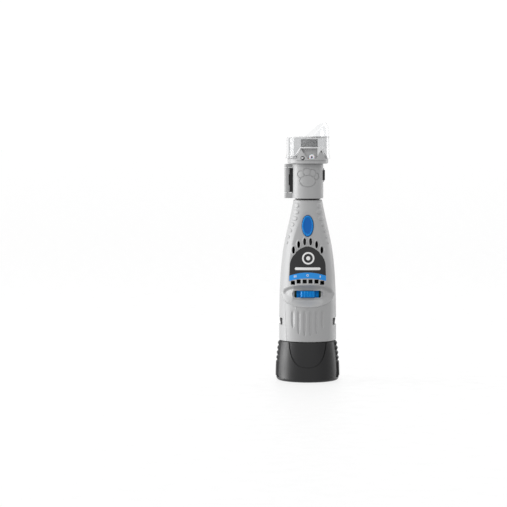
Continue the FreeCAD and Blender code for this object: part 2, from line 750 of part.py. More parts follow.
def tongue_groove():
    """The U-shaped line on the front of the pack."""
    def outline(grow):
        half = TONGUE_HALF + grow
        low = PACK_TOP - TONGUE_DROP - grow
        side = bezier([(-half, PACK_TOP + 1), (-half + 1.0, low + 2.0), (-half * 0.45, low), (0, low)])
        other = bezier([(0, low), (half * 0.45, low), (half - 1.0, low + 2.0), (half, PACK_TOP + 1)])
        return prism_y([side, other, line((half, PACK_TOP + 1), (-half, PACK_TOP + 1))], -FAR, -5)
    ring = outline(TONGUE_LINE / 2).cut(outline(-TONGUE_LINE / 2))
    return ring.cut(pack_form(-TONGUE_LINE_DEPTH, -1, PACK_TOP))


def battery_case():
    """The pack's cup and the cell tower that rises into the housing, with a pocket for each latch."""
    low = BASE_Z
    solid = fuse([pack_form(0, low, PACK_TOP), tower(TOWER_R, TOWER_FLAT, PACK_TOP - 1, TOWER_TOP)])
    solid = solid.cut(tower(TOWER_R - 1.2, TOWER_FLAT - 1.15, low - 1, TOWER_TOP + 1))
    hollow = pack_form(-PACK_WALL, low - 1, PACK_TOP - PACK_WALL).cut(cylinder(TOWER_R, 0, 60))
    solid = solid.cut(hollow.cut(box(-FAR, FAR, -11.2, 11.2, 0, 60)))
    half = LATCH_HALF + MAKE_GAP
    pocket = box(LATCH_POCKET_X, FAR, -half, half, low - 1, PACK_TOP + 1)
    pin_hole = cylinder_y(LATCH_PIN_R, -10.4, 10.4, LATCH_PIVOT_X, LATCH_PIVOT_Z)
    return solid.cut(Part.makeCompound(both_sides(pocket) + both_sides(pin_hole) + [tongue_groove()]))


def battery_base():
    """The bottom cover, with a rounded edge and screw recesses."""
    edges = [
        line((0, 0), (BASE_EDGE_R, 0)),
        arc((BASE_EDGE_R, 0), (FOOT_R - 0.35, 0.8), (FOOT_R, BASE_Z)),
        line((FOOT_R, BASE_Z), (0, BASE_Z)),
        line((0, BASE_Z), (0, 0)),
    ]
    plate = lathe_edges(edges)
    spots = [turned(cylinder(1.8, -1, 1.3, 18.6, 0), 60 + 60 * i) for i in (0, 1, 3, 4)]
    holes = [turned(cylinder(0.9, -1, 5, 18.6, 0), 60 + 60 * i) for i in (0, 1, 3, 4)]
    return plate.cut(Part.makeCompound(spots + holes))


def battery_screws():
    screw = cylinder(1.6, 0.35, 1.3, 18.6, 0).fuse(cylinder(0.85, 1.3, BASE_Z - 0.05, 18.6, 0))
    screw = screw.cut(box(17.6, 19.6, -0.22, 0.22, 0, 0.8)).cut(box(18.38, 18.82, -1, 1, 0, 0.8))
    return [turned(screw, 60 + 60 * i) for i in (0, 1, 3, 4)]


def cell_centres():
    ring = 2 * CELL_R / math.sqrt(3) + 0.02
    return [(ring * math.cos(math.radians(a)), ring * math.sin(math.radians(a))) for a in (90, 210, 330)]


def battery_cells():
    cells = []
    for x, y in cell_centres():
        can = cylinder(CELL_R, CELL_FROM, CELL_TO - 1.0, x, y)
        cells.append(can.fuse(cylinder(2.6, CELL_TO - 1.0, CELL_TO, x, y)))
    return cells


def cell_links():
    """Nickel strips: one across two cells above, one across two below."""
    (x0, y0), (x1, y1), (x2, y2) = cell_centres()
    above = box(x1, x2, y1 - 2, y1 + 2, CELL_TO, CELL_TO + 0.3)
    below = box(-2, 2, 0, math.hypot(x0 - x1, y0 - y1), CELL_FROM - 0.3, CELL_FROM)
    below.rotate(vec(0, 0, 0), vec(0, 0, 1), -math.degrees(math.atan2(x0 - x1, y0 - y1)))
    below.translate(vec(x1, y1, 0))
    return [above, below]


def tower_cap():
    cap = tower(TOWER_R, TOWER_FLAT, TOWER_TOP, TOWER_CAP_TOP)
    seat = box(4.0, 8.0, -0.5, 4.5, TOWER_CAP_TOP - 0.5, TOWER_CAP_TOP + 1)
    return cap.cut(Part.makeCompound(both_sides(seat)))


def battery_terminals():
    return both_sides(box(4.0, 8.0, -0.5, 4.5, TOWER_CAP_TOP - 0.5, TOWER_CAP_TOP + 0.1))


def latch():
    """The right-hand squeeze latch: ribbed side pad, pivot boss, arm and the tip in the housing's window."""
    strip = box(0, FAR, -LATCH_HALF, LATCH_HALF, FOOT_Z, PACK_TOP - 0.2)
    pad = pack_form(LATCH_PROUD, FOOT_Z, PACK_TOP - 0.2).cut(pack_form(-2.0, 0, PACK_TOP)).common(strip)
    grooves = []
    for i in range(LATCH_RIBS):
        z = PACK_TOP - 3.6 - LATCH_RIB_PITCH * i
        band = box(0, FAR, -FAR, FAR, z - 0.9, z + 0.9)
        grooves.append(band.cut(pack_form(LATCH_PROUD - 0.7, 0, PACK_TOP)))
    boss = cylinder_y(1.75, -8.0, 8.0, LATCH_PIVOT_X, LATCH_PIVOT_Z)
    arm_in, arm_out = LATCH_ARM_X
    shelf = box(arm_in, 19.6, -LATCH_ARM_HALF, LATCH_ARM_HALF, 25.6, 27.4)
    arm = box(arm_in, arm_out, -LATCH_ARM_HALF, LATCH_ARM_HALF, 25.6, LATCH_ARM_TOP)
    solid = fuse([pad.cut(Part.makeCompound(grooves)), boss, shelf, arm])
    return solid.cut(cylinder_y(LATCH_PIN_R + RUNNING_GAP, -FAR, FAR, LATCH_PIVOT_X, LATCH_PIVOT_Z))


def latch_pin():
    return cylinder_y(LATCH_PIN_R, -10.4, 10.4, LATCH_PIVOT_X, LATCH_PIVOT_Z)


def latch_spring(side):
    return coil_spring(1.6, 0.3, 3, vec(side * LATCH_POCKET_X, 0, 17.0), vec(side, 0, 0), 4.1)


# ---- clamp collar, ring and guard --------------------------------------------------------------

def collar_shell(z0, z1):
    ring = tube(COLLAR_R, COLLAR_IN, z0, z1)
    return ring.common(box(-FAR, FLAT_X, -FAR, FAR, z0, z1))


def hinge_leaf(y0, y1, z0, z1):
    """A knuckle round the hinge pin and the web that joins it to the collar."""
    knuckle = cylinder(KNUCKLE_R, z0, z1, HINGE_X, 0)
    web = box(HINGE_X, -10.6, y0, y1, z0, z1).cut(cylinder(COLLAR_IN, z0 - 1, z1 + 1))
    return [knuckle, web]


def hinge_bore(radius):
    return cylinder(radius, 120, 170, HINGE_X, 0)


def paw_mark():
    """A shallow paw outline on the gate's front: a pad over four toes, each drawn behind the one before."""
    pads = ((-0.1, 146.1, 5.7, 4.2), (-0.8, 152.8, 2.6, 2.8), (3.4, 151.9, 2.4, 2.7),
            (-4.9, 151.1, 2.5, 2.6), (6.0, 149.6, 1.9, 2.5))

    def oval(place, grow):
        x, z, a, b = place
        return oval_y(x, z, a + grow, b + grow, -FAR, -5)
    half = PAW_LINE / 2
    lines = []
    for i, place in enumerate(pads):
        line_of_one = oval(place, half).cut(oval(place, -half))
        for front in pads[:i]:
            line_of_one = line_of_one.cut(oval(front, -half))
        lines.append(line_of_one)
    return fuse(lines).cut(cylinder(COLLAR_R - PAW_DEPTH, 120, 170))


def collar_gate():
    """The hinged front half of the clamp collar."""
    low, high = COLLAR_Z
    shell = collar_shell(low, high).common(box(-FAR, FAR, -FAR, -0.15, low, high))
    side_relief = box(-FAR, COLLAR_FLANK_X, -FAR, 0, GATE_ARM_LOW_Z, GATE_ARM_TOP_Z)
    arms = hinge_leaf(-KNUCKLE_R, -0.3, low, GATE_ARM_LOW_Z)
    arms += hinge_leaf(-KNUCKLE_R, -0.3, GATE_ARM_TOP_Z, high)
    solid = fuse([shell.cut(side_relief)] + arms)
    return solid.cut(Part.makeCompound([hinge_bore(HINGE_PIN_R + RUNNING_GAP), paw_mark()]))


def gate_pad():
    low, high = COLLAR_Z
    return tube(COLLAR_IN, PAD_IN, low + 2, high - 4).common(box(-FAR, FAR, -FAR, -1.5, low, high))


def collar_rear():
    """The fixed rear half: clamp shell, hinge barrel, latch seat and the spigot the guard ring turns on."""
    low, high = COLLAR_Z
    shell = collar_shell(low, high).common(box(-FAR, FAR, 0.15, FAR, low, high))
    barrel_low, barrel_high = GATE_ARM_LOW_Z + MAKE_GAP, GATE_ARM_TOP_Z - MAKE_GAP
    barrel = cylinder(KNUCKLE_R, barrel_low, barrel_high, HINGE_X, 0)
    relief = box(PLATE_X[0] - 0.05, 0, -FAR, PLATE_Y[1] + 0.05, *PLATE_WAIST_Z)
    web = hinge_leaf(PLATE_Y[1] + 0.05, KNUCKLE_R, barrel_low, barrel_high)[1]
    spigot = tube(SPIGOT_R, PAD_IN, high + MAKE_GAP, RING_Z[1] + 0.1)
    link = tube(SPIGOT_R, PAD_IN, high - 3.6, high + MAKE_GAP).common(box(-FAR, FAR, 0.15, FAR, 0, 200))
    solid = fuse([shell, barrel.cut(relief), web, spigot, link])
    latch_seat = box(FLAT_X - 1.1, FAR, 2.6, 6.6, 146.0, 154.4)
    plate_seat = box(HINGE_X + KNUCKLE_R, PLATE_X[1] + 0.05, 0, PLATE_Y[1] + 0.05,
                     PLATE_Z[0] - 0.05, PLATE_Z[1] + 0.05)
    return solid.cut(Part.makeCompound([latch_seat, plate_seat, hinge_bore(HINGE_PIN_R)]))


def hinge_plate():
    """The black plate that closes the gap between the hinge barrel and the collar."""
    plate = box(*PLATE_X, *PLATE_Y, *PLATE_Z).cut(cylinder(KNUCKLE_R + 0.05, *COLLAR_Z, HINGE_X, 0))
    waist = box(PLATE_X[0], HINGE_X + KNUCKLE_R + 0.5, *PLATE_Y,
                PLATE_WAIST_Z[0] + 0.05, PLATE_WAIST_Z[1] - 0.05)
    return fuse([plate, waist])


def rear_pad():
    low, high = COLLAR_Z
    return tube(COLLAR_IN, PAD_IN, low + 2, high - 4).common(box(-FAR, FAR, 1.5, FAR, low, high))


def retaining_ring():
    """A split clip on the spigot that keeps the guard ring down."""
    clip = tube(RING_BORE + 0.7, SPIGOT_R - 0.35, RING_Z[1] + 0.1, RING_Z[1] + 0.7)
    return clip.cut(box(-1.5, 1.5, 0, FAR, 150, 170))


def hinge_pin():
    return cylinder(HINGE_PIN_R, COLLAR_Z[0] + 0.3, COLLAR_Z[1] - 0.3, HINGE_X, 0)


def gate_latch():
    """The dark thumb latch on the collar's right side."""
    plate = box(FLAT_X + 0.25, FLAT_X + 1.0, -3.6, 5.6, 146.5, 153.9)
    knuckle = cylinder(1.0, 146.5, 153.9, FLAT_X + 0.25, 4.4)
    return fuse([plate, knuckle]).cut(cylinder(0.55, 140, 160, FLAT_X + 0.25, 4.4))


def gate_latch_pin():
    return cylinder(0.5, 145.2, 155.2, FLAT_X + 0.25, 4.4)


def on_turned_ring(shape):
    """Ring and guard are drawn facing the front and stored turned a little to the right."""
    return turned(shape, GUARD_TURN)


def ring_peaks():
    """Two triangular peaks at the front of the ring that fill the lower corners of the guard's notch."""
    low, high = RING_Z[1] - 0.2, NOTCH_TOP - 1.4
    peak = polygon_y([(3.1, low), (NOTCH_HALF[0] - 0.7, low), (7.5, high)], -FAR, 0)
    wall = tube(GUARD_R - 0.05, GUARD_R - GUARD_WALL, low, high)
    return [p.common(wall) for p in both_sides(peak)]


def ring_tongue():
    """The tongue that stands up inside the front of the guard, with a slot and slanting grip lines."""
    outer, inner = TONGUE_WALL_R
    wall = tube(outer, inner, RING_Z[1] - 0.2, RING_TONGUE_TOP)
    wall = wall.common(box(-RING_TONGUE_HALF, RING_TONGUE_HALF, -FAR, 0, 150, 200))
    slot = box(-FAR, -1.6, -FAR, 0, 170.0, 170.7)
    lines = []
    for i in range(3):
        bar = box(-0.25, 0.25, -FAR, 0, 171.4, 175.8)
        bar.rotate(vec(0, 0, 173.6), vec(0, 1, 0), 25)
        bar.translate(vec(0.4 + 1.7 * i, 0, 0))
        lines.append(bar.cut(cylinder(outer - 0.25, 150, 200)))
    return turned(wall.cut(Part.makeCompound([slot] + lines)), RING_TONGUE_TURN)


def guard_ring():
    """The ring that turns on the collar: rounded low edge, flange for the guard, two peaks in front."""
    low, high = RING_Z
    round_in = 0.293 * RING_EDGE
    body = lathe_edges([
        line((RING_BORE, low), (RING_R - RING_EDGE, low)),
        arc((RING_R - RING_EDGE, low), (RING_R - round_in, low + round_in), (RING_R, low + RING_EDGE)),
        line((RING_R, low + RING_EDGE), (RING_R, high)),
        line((RING_R, high), (RING_BORE, high)),
        line((RING_BORE, high), (RING_BORE, low)),
    ])
    lip = tube(GUARD_R - GUARD_WALL - 0.15, GUARD_R - GUARD_WALL - 1.2, high - 0.2, high + 1.6)
    front_gap = box(-2.7, 2.7, -FAR, 0, high, high + 3)
    shelf = tube(GUARD_R - 0.05, RING_R - 1, high - 1.0, high)
    front_shelf = shelf.common(box(-11.2, 11.2, -FAR, -8, 150, 170))
    solid = fuse([body, lip.cut(front_gap), front_shelf, ring_tongue()] + ring_peaks())
    pocket = cylinder_y(1.5, -FAR, -GUARD_R + 0.9, -6.6, RING_Z[1] + 0.4)
    return on_turned_ring(solid.cut(pocket))


def guard_release_tab():
    """The small arched finger tab between the peaks."""
    low = RING_Z[1]
    r, y0, y1 = TAB_R, -GUARD_R + 0.2, -GUARD_R + 1.4
    centre = low + 1.2
    loop = fuse([cylinder_y(r, y0, y1, 0, centre), box(-r, r, y0, y1, low, centre)])
    eye = cylinder_y(TAB_EYE_R, -FAR, 0, 0, centre)
    return on_turned_ring(loop.common(box(-r, r, y0, y1, low, low + FAR)).cut(eye))


def clear_guard():
    """The clear cup with a flat top, an elongated nail hole and a domed hood on one side."""
    top_in = GUARD_TOP - 1.2
    corner = 1.6
    cup = lathe_edges([
        line((0, GUARD_FOOT), (GUARD_R + 0.9, GUARD_FOOT)),
        bezier([(GUARD_R + 0.9, GUARD_FOOT), (GUARD_R, GUARD_FOOT + 2.0), (GUARD_R, GUARD_FOOT + 5.0)]),
        line((GUARD_R, GUARD_FOOT + 5.0), (GUARD_R, GUARD_TOP - corner)),
        arc((GUARD_R, GUARD_TOP - corner), (GUARD_R - 0.293 * corner, GUARD_TOP - 0.293 * corner),
            (GUARD_R - corner, GUARD_TOP)),
        line((GUARD_R - corner, GUARD_TOP), (0, GUARD_TOP)),
        line((0, GUARD_TOP), (0, GUARD_FOOT)),
    ])
    inner_r = GUARD_R - GUARD_WALL
    inside = cylinder(inner_r, GUARD_FOOT - 1, top_in)
    hood = dome(GUARD_R, DOME_R).cut(dome(inner_r, DOME_R - GUARD_WALL))
    hood = hood.common(hood_side())
    (x0, x1), r = NAIL_HOLE_X, NAIL_HOLE_R
    hole = fuse([cylinder(r, 170, 200, x0, 0), cylinder(r, 170, 200, x1, 0), box(x0, x1, -r, r, 170, 200)])
    under = dome(inner_r, DOME_R - GUARD_WALL).common(box(-FAR, FAR, -FAR, FAR, GUARD_TOP, 200))
    solid = fuse([cup, hood]).cut(Part.makeCompound([inside, hole])).cut(under.common(hood_side()))
    low_half, high_half = NOTCH_HALF
    notch = polygon_y([(-low_half, GUARD_FOOT - 1), (low_half, GUARD_FOOT - 1), (high_half, NOTCH_TOP),
                       (-high_half, NOTCH_TOP)], -FAR, -5)
    return on_turned_ring(solid.cut(notch))


def dome(radius, round_r):
    """A solid drum whose top edge is rounded over, down to the guard's flat top."""
    centre = radius - round_r
    peak_z = DOME_Z + round_r
    angle = math.radians(45)
    middle = (centre + round_r * math.cos(angle), DOME_Z + round_r * math.sin(angle))
    return lathe_edges([
        line((0, GUARD_TOP - 1.2), (radius, GUARD_TOP - 1.2)),
        line((radius, GUARD_TOP - 1.2), (radius, DOME_Z)),
        arc((radius, DOME_Z), middle, (centre, peak_z)),
        line((centre, peak_z), (0, peak_z)),
        line((0, peak_z), (0, GUARD_TOP - 1.2)),
    ])


def hood_side():
    """The half space below the hood's slanted rim."""
    tip_x, tip_z = HOOD_TIP
    slope = (tip_z - GUARD_TOP) / (tip_x - HOOD_FROM_X)
    low_x = HOOD_FROM_X - 1.2 / slope
    reach = 40.0
    low_z = GUARD_TOP - 1.2
    corners = [(low_x, low_z), (low_x + reach, low_z + reach * slope), (low_x + reach, low_z)]
    return polygon_y(corners, -FAR, FAR)


# ---- output ------------------------------------------------------------------------------------

def main():
    os.makedirs("parts", exist_ok=True)
    for old in os.listdir("parts"):
        os.remove(os.path.join("parts", old))

    save("front_housing", front_housing())
    save("rear_housing", rear_housing())
    save("housing_screws", *housing_screws())
    save("label_plate", label_plate(0.2))
    save("lock_button", lock_button())
    save("lock_pin", lock_pin())
    save("lock_spring", lock_spring())
    save("lock_guide", lock_guide())
    save("speed_slider", speed_slider())
    save("slide_switch", slide_switch())
    save("circuit_board", circuit_board())
    save("contact_block", contact_block())
    save("contact_springs", *contact_springs())
    save("positive_lead", motor_lead(1))
    save("negative_lead", motor_lead(-1))

    save("motor_can", motor_can())
    save("motor_end_cap", motor_end_cap())
    save("motor_magnets", motor_magnets())
    save("motor_brushes", *motor_brushes())
    save("armature_core", armature())
    save("armature_windings", windings())
    save("commutator", commutator())
    save("motor_shaft", motor_shaft())
    save("shaft_coupling", coupling())
    save("spindle_shaft", spindle_shaft())
    for place, z in BEARINGS.items():
        outer, balls, inner = bearing(z)
        save(place + "_bearing_outer_race", outer)
        save(place + "_bearing_balls", balls)
        save(place + "_bearing_inner_race", inner)
    save("nose_bushing", nose_bushing())
    save("nose_cap", nose_cap())
    save("collet", collet())
    save("collet_nut", collet_nut())

    save("battery_case", battery_case())
    save("battery_base", battery_base())
    save("battery_screws", *battery_screws())
    save("battery_cells", *battery_cells())
    save("cell_links", *cell_links())
    save("battery_tower_cap", tower_cap())
    save("battery_terminals", *battery_terminals())
    for side, name in ((1, "right"), (-1, "left")):
        piece = latch() if side > 0 else mirrored(latch())
        pin = latch_pin() if side > 0 else mirrored(latch_pin())
        save(name + "_latch", piece)
        save(name + "_latch_pin", pin)
        save(name + "_latch_spring", latch_spring(side))

    save("collar_rear", collar_rear())
    save("rear_clamp_pad", rear_pad())
    save("retaining_ring", retaining_ring())
    save("hinge_plate", hinge_plate())
    save("hinge_pin", hinge_pin())
    save("collar_gate", collar_gate())
    save("gate_clamp_pad", gate_pad())
    save("gate_latch", gate_latch())
    save("gate_latch_pin", gate_latch_pin())
    save("guard_ring", guard_ring())
    save("guard_release_tab", guard_release_tab())
    save("clear_guard", clear_guard())


main()
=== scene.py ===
"""The looks of a cordless pet nail trimmer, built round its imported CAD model.

The moulded housing halves, the label, the lock button, the speed slider and the battery latches
are modelled here on the same driving forms as the CAD part, and the clear guard is a polished copy
of its CAD node. The other CAD nodes are shown themselves, with softened edges. Shapes are worked
out in millimetres, and meshes are stored in metres.
"""

import math

import bmesh
import bpy
import numpy as np
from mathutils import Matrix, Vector


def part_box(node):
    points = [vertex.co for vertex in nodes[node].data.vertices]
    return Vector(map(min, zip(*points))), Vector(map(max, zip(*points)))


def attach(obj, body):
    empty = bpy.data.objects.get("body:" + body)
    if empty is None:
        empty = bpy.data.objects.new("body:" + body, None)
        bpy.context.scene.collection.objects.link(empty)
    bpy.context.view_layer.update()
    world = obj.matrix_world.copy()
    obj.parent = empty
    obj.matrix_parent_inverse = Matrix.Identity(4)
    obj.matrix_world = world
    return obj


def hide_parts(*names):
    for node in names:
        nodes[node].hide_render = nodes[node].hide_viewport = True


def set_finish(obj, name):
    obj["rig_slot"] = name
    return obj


MM = 0.001

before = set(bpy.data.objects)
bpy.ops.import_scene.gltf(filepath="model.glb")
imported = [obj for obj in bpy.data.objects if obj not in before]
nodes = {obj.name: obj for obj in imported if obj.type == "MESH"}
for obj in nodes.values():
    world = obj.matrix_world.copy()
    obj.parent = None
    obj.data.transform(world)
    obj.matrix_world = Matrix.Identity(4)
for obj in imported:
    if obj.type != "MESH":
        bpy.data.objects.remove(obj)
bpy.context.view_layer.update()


def span(node):
    """Lowest and highest corner of a CAD node at rest, in millimetres."""
    low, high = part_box(node)
    return np.array(low) / MM, np.array(high) / MM


# ---- driving dimensions, in millimetres --------------------------------------------------------

shell_low, shell_high = span("rear_housing")
LOW_R = shell_high[0]
SEAM_Z = shell_low[2]
HOUSING_TOP = shell_high[2]
CURVE_Z = 38.0
SHOULDER_R, SHOULDER_Z = 15.9, 101.5
NECK_R, NECK_Z = 10.6, 131.5
WALL = 1.9
NECK_BORE_R, NECK_BORE_Z = 8.6, 124.0
BOTTOM_ROUND = 0.8
TOP_ROUND = 0.5
PARTING_ROUND = 0.22

# Front panel: a wider form turned about an axis behind the spindle, ending below in a sill.
PANEL_AXIS = 25.0
PANEL_REACH = (17.0, 16.75, 13.85, 12.0)
PANEL_Z = (71.0, 123.4)
PANEL_CREASE = 0.2
SILL_REACH, SILL_Z, SILL_SLOPE = 20.6, 71.3, 0.96
SILL_DROOP = 1.9
SILL_FILLET = 1.0

# Switch pocket: a full oval dished down, in an S, to a lens-shaped land round the slot. A valley
# runs round the upper half of the slope, and a low lip round the lower half of the rim.
POCKET_HALF, POCKET_Z = 19.1, 64.8
POCKET_UP, POCKET_DOWN = 6.3, 9.6
POCKET_POWER = 2.3
POCKET_PROFILE = 0.8
POCKET_MIN_DEPTH = 1.3
POCKET_WALL = 2.0
VALLEY_DEPTH, VALLEY_AT, VALLEY_WIDTH = 0.7, 0.62, 1.0
LIP_HEIGHT, LIP_WIDTH, LIP_OUT = 0.38, 1.5, 0.3
LAND_Y, LAND_Z = 16.0, 64.1
LAND_HALF, LAND_UP, LAND_DOWN = 13.9, 4.1, 4.3
LAND_POWER = 1.9
LAND_FLAT, LAND_BEND = 10.5, 0.1

slider_low, slider_high = span("speed_slider")
SLOT_Z = (slider_low[2] + slider_high[2]) / 2
SLOT_HALF = (9.65, 2.6)
SLOT_CORNER = 1.1
COUNTERSINK_HALF, COUNTERSINK_R, COUNTERSINK_DEPTH = 8.6, 2.5, 1.4
COUNTERSINK_SLOPE = 0.5
COUNTERSINK_LIP, COUNTERSINK_LIP_WIDTH = 0.25, 1.2
SHUTTER_ROOM_Y, SHUTTER_ROOM_HALF = 13.85, (12.8, 4.8)

button_low, button_high = span("lock_button")
BUTTON_Z = (button_low[2] + button_high[2]) / 2
BUTTON_HALF = (4.05, 7.5)
BUTTON_GAP = 0.3
BUTTON_RIM_FROM = 0.76

# Vents: place and half size.
CLAW_VENTS = ((2.15, 102.1), (6.5, 100.0), (10.3, 96.0))
CLAW_HALF = (1.0, 2.6)
CLAW_RIM, CLAW_RIM_WIDTH = 0.45, 1.3
SQUARE_VENTS = ((2.1, 73.4), (6.45, 73.3), (10.6, 72.3))
SQUARE_HALF = (1.5, 1.4)
SQUARE_CORNER = 0.35
EDGE_ROUND = 0.4

# Flutes: centre, low end.
FLUTES = ((2.1, 33.8), (6.4, 35.4), (10.7, 39.4))
FLUTE_HALF, FLUTE_TAPER, FLUTE_DEPTH = 1.55, 6.0, 0.72
FLUTE_TOP, FLUTE_FADE = 53.2, 4.0
FRONT_LINE_X, FRONT_LINE_Z = (14.8, 16.4), (29.0, 58.0)
FRONT_LINE_DEPTH, FRONT_LINE_WIDTH, FRONT_LINE_FADE = 0.2, 0.9, 2.0
FRONT_STEP, FRONT_STEP_WIDTH = 0.14, 0.8

# Two raised ticks and a small ring-shaped dimple between the flutes and the switch pocket.
TICKS_X, TICK_LOW, TICK_TOP = (-8.5, 7.7), 52.2, 56.0
TICK_HEIGHT, TICK_WIDTH, TICK_FADE_LOW, TICK_FADE_TOP = 0.2, 1.2, 1.6, 0.8
DIMPLE_Z, DIMPLE_R, DIMPLE_WIDTH, DIMPLE_DEPTH = 52.8, 0.7, 0.6, 0.25

# Grip bumps on the shoulders: height, distance from the middle, half width, half height.
GRIP_BUMPS = ((128.3, 8.3, 2.0, 2.0), (123.6, 8.8, 2.7, 1.85), (118.9, 9.8, 2.2, 1.75),
              (114.5, 11.5, 1.7, 1.65), (110.0, 12.9, 1.4, 1.45), (105.4, 14.2, 1.15, 1.25),
              (101.2, 15.4, 0.9, 1.0))
GRIP_HEIGHT, GRIP_SLOPE = 0.42, 0.55

HOUSING_SCREWS = ((14.2, 66.8), (8.7, 107.5))
SCREW_HEAD_R, SCREW_SEAT = 2.25, 3.2
WINDOW_HALF_Y, WINDOW_Z = 9.6, (40.9, 45.9)
WINDOW_CORNER = 0.8
WINDOW_FROM_X = 15.9

LABEL_HALF = 13.0
LABEL_TOP, LABEL_SPRING = 98.8, 85.1
LABEL_POWER, LABEL_FLARE = 1.72, 0.4
BAND_TOP, BAND_LOW = (79.9, 77.5), (75.6, 73.7)

OUTSIDE = 30.0


# ---- mesh helpers ------------------------------------------------------------------------------

def make(name, points, faces, sharp_deg=38):
    """A mesh object from points in millimetres, with doubles merged and normals outward."""
    mesh = bpy.data.meshes.new(name)
    mesh.from_pydata((np.asarray(points) * MM).tolist(), [], [list(map(int, f)) for f in faces])
    tidy = bmesh.new()
    tidy.from_mesh(mesh)
    bmesh.ops.remove_doubles(tidy, verts=tidy.verts, dist=1e-8)
    bare = [edge for edge in tidy.edges if not edge.link_faces]
    bmesh.ops.delete(tidy, geom=bare, context="EDGES")
    bmesh.ops.recalc_face_normals(tidy, faces=tidy.faces)
    tidy.to_mesh(mesh)
    tidy.free()
    thing = bpy.data.objects.new(name, mesh)
    bpy.context.scene.collection.objects.link(thing)
    smooth(thing, sharp_deg)
    return thing


def smooth(thing, sharp_deg):
    thing.data.shade_smooth()
    thing.data.set_sharp_from_angle(angle=math.radians(sharp_deg))


def grid_faces(index):
    """Quads between the rows and columns of a grid of point numbers."""
    corners = index[:-1, :-1], index[:-1, 1:], index[1:, 1:], index[1:, :-1]
    return np.stack(corners, -1).reshape(-1, 4)


def wall(top, bottom, around=False):
    """Points and quads of a closed wall between two point grids of one size.
    With around, the last column joins the first."""
    rows, cols = top.shape[:2]
    count = rows * cols
    index = np.arange(count).reshape(rows, cols)
    if around:
        index = np.hstack([index, index[:, :1]])

    front = grid_faces(index)
    faces = [front, front[:, ::-1] + count]
    borders = [index[0], index[-1]]
    if not around:
        borders += [index[:, 0], index[:, -1]]
    for line in borders:
        faces.append(np.stack([line[:-1], line[1:], line[1:] + count, line[:-1] + count], 1))
    points = np.concatenate([top.reshape(-1, 3), bottom.reshape(-1, 3)])
    return points, np.concatenate(faces)


def loft(rings):
    """Points and quads through rings of equal size. Each ring joins its own start."""
    rows, cols = rings.shape[:2]
    index = np.arange(rows * cols).reshape(rows, cols)
    return rings.reshape(-1, 3), grid_faces(np.hstack([index, index[:, :1]]))


def full_turn(count):
    """Angles evenly round a circle."""
    return np.linspace(0, 2 * math.pi, count + 1)[:-1]


def prism(outline, y0, y1):
    """A closed prism along Y over an XZ outline."""
    n = len(outline)
    near = [(x, y0, z) for x, z in outline]
    away = [(x, y1, z) for x, z in outline]
    sides = [(i, (i + 1) % n, (i + 1) % n + n, i + n) for i in range(n)]
    return near + away, [list(range(n)), list(range(2 * n - 1, n - 1, -1))] + sides


def oval(x, z, half_x, half_z, steps=64):
    turn = [2 * math.pi * i / steps for i in range(steps)]
    return [(x + half_x * math.cos(a), z + half_z * math.sin(a)) for a in turn]


def rounded_box(x, z, half_x, half_z, corner, steps=8):
    """The outline of a rectangle with round corners."""
    outline = []
    for sx, sz, start in ((1, 1, 0), (-1, 1, 90), (-1, -1, 180), (1, -1, 270)):
        for i in range(steps + 1):
            a = math.radians(start + 90 * i / steps)
            outline.append((x + sx * (half_x - corner) + corner * math.cos(a),
                            z + sz * (half_z - corner) + corner * math.sin(a)))
    return outline


def joined(meshes):
    """Several (points, faces) as one."""
    points, faces = [], []
    for some_points, some_faces in meshes:
        start = len(points)
        points += [tuple(p) for p in some_points]
        faces += [[int(i) + start for i in f] for f in some_faces]
    return points, faces


def drill(thing, cutters, sharp_deg=38):
    """Cuts closed meshes out of a piece."""
    cutter = make("cutter", *joined(cutters))
    cut = thing.modifiers.new("drill", "BOOLEAN")
    cut.operation, cut.solver, cut.object = "DIFFERENCE", "EXACT", cutter
    depsgraph = bpy.context.evaluated_depsgraph_get()
    mesh = bpy.data.meshes.new_from_object(thing.evaluated_get(depsgraph))
    thing.modifiers.clear()
    thing.data = mesh
    bpy.data.objects.remove(cutter)
    smooth(thing, sharp_deg)


def both(items):
    """The items, and each again with its x mirrored."""
    return [(side * item[0], *item[1:]) for item in items for side in (-1, 1)]


# ---- forms -------------------------------------------------------------------------------------

def bezier(poles, t):
    a, b, c, d = poles
    return (1 - t) ** 3 * a + 3 * (1 - t) ** 2 * t * b + 3 * (1 - t) * t ** 2 * c + t ** 3 * d


curve_steps = np.linspace(0, 1, 600)
CURVE_HEIGHTS = bezier((CURVE_Z, SHOULDER_Z, SHOULDER_Z, NECK_Z), curve_steps)
CURVE_RADII = bezier((LOW_R, LOW_R, SHOULDER_R, NECK_R), curve_steps)


def body_radius(z):
    """The tapered housing's radius at a height."""
    return np.interp(z, CURVE_HEIGHTS, CURVE_RADII)


def panel_reach(z):
    low, high = PANEL_Z
    return bezier(PANEL_REACH, np.clip((z - low) / (high - low), 0, 1))


def sill_reach(x, z):
    """The panel's reach, with the sill that it ends in below."""
    sill_z = z + SILL_DROOP * (x / LABEL_HALF) ** 2
    sill = SILL_REACH + (SILL_Z - sill_z) * SILL_SLOPE
    return smooth_max(panel_reach(z), sill, SILL_FILLET)


def panel_y(x, z):
    """How far in front of the spindle the panel's face lies."""
    return np.sqrt((PANEL_AXIS + panel_reach(z)) ** 2 - x ** 2) - PANEL_AXIS


def smooth_min(a, b, blend):
    near = np.clip(1 - np.abs(a - b) / blend, 0, 1)
    return np.minimum(a, b) - near * near * blend / 4


def smooth_max(a, b, blend):
    return -smooth_min(-a, -b, blend)


def ramp(t):
    t = np.clip(t, 0, 1)
    return t * t * (3 - 2 * t)


def ridge(distance, width):
    """1 on a line, falling smoothly to 0 at half the width from it."""
    return ramp(1 - np.abs(distance) / (width / 2))


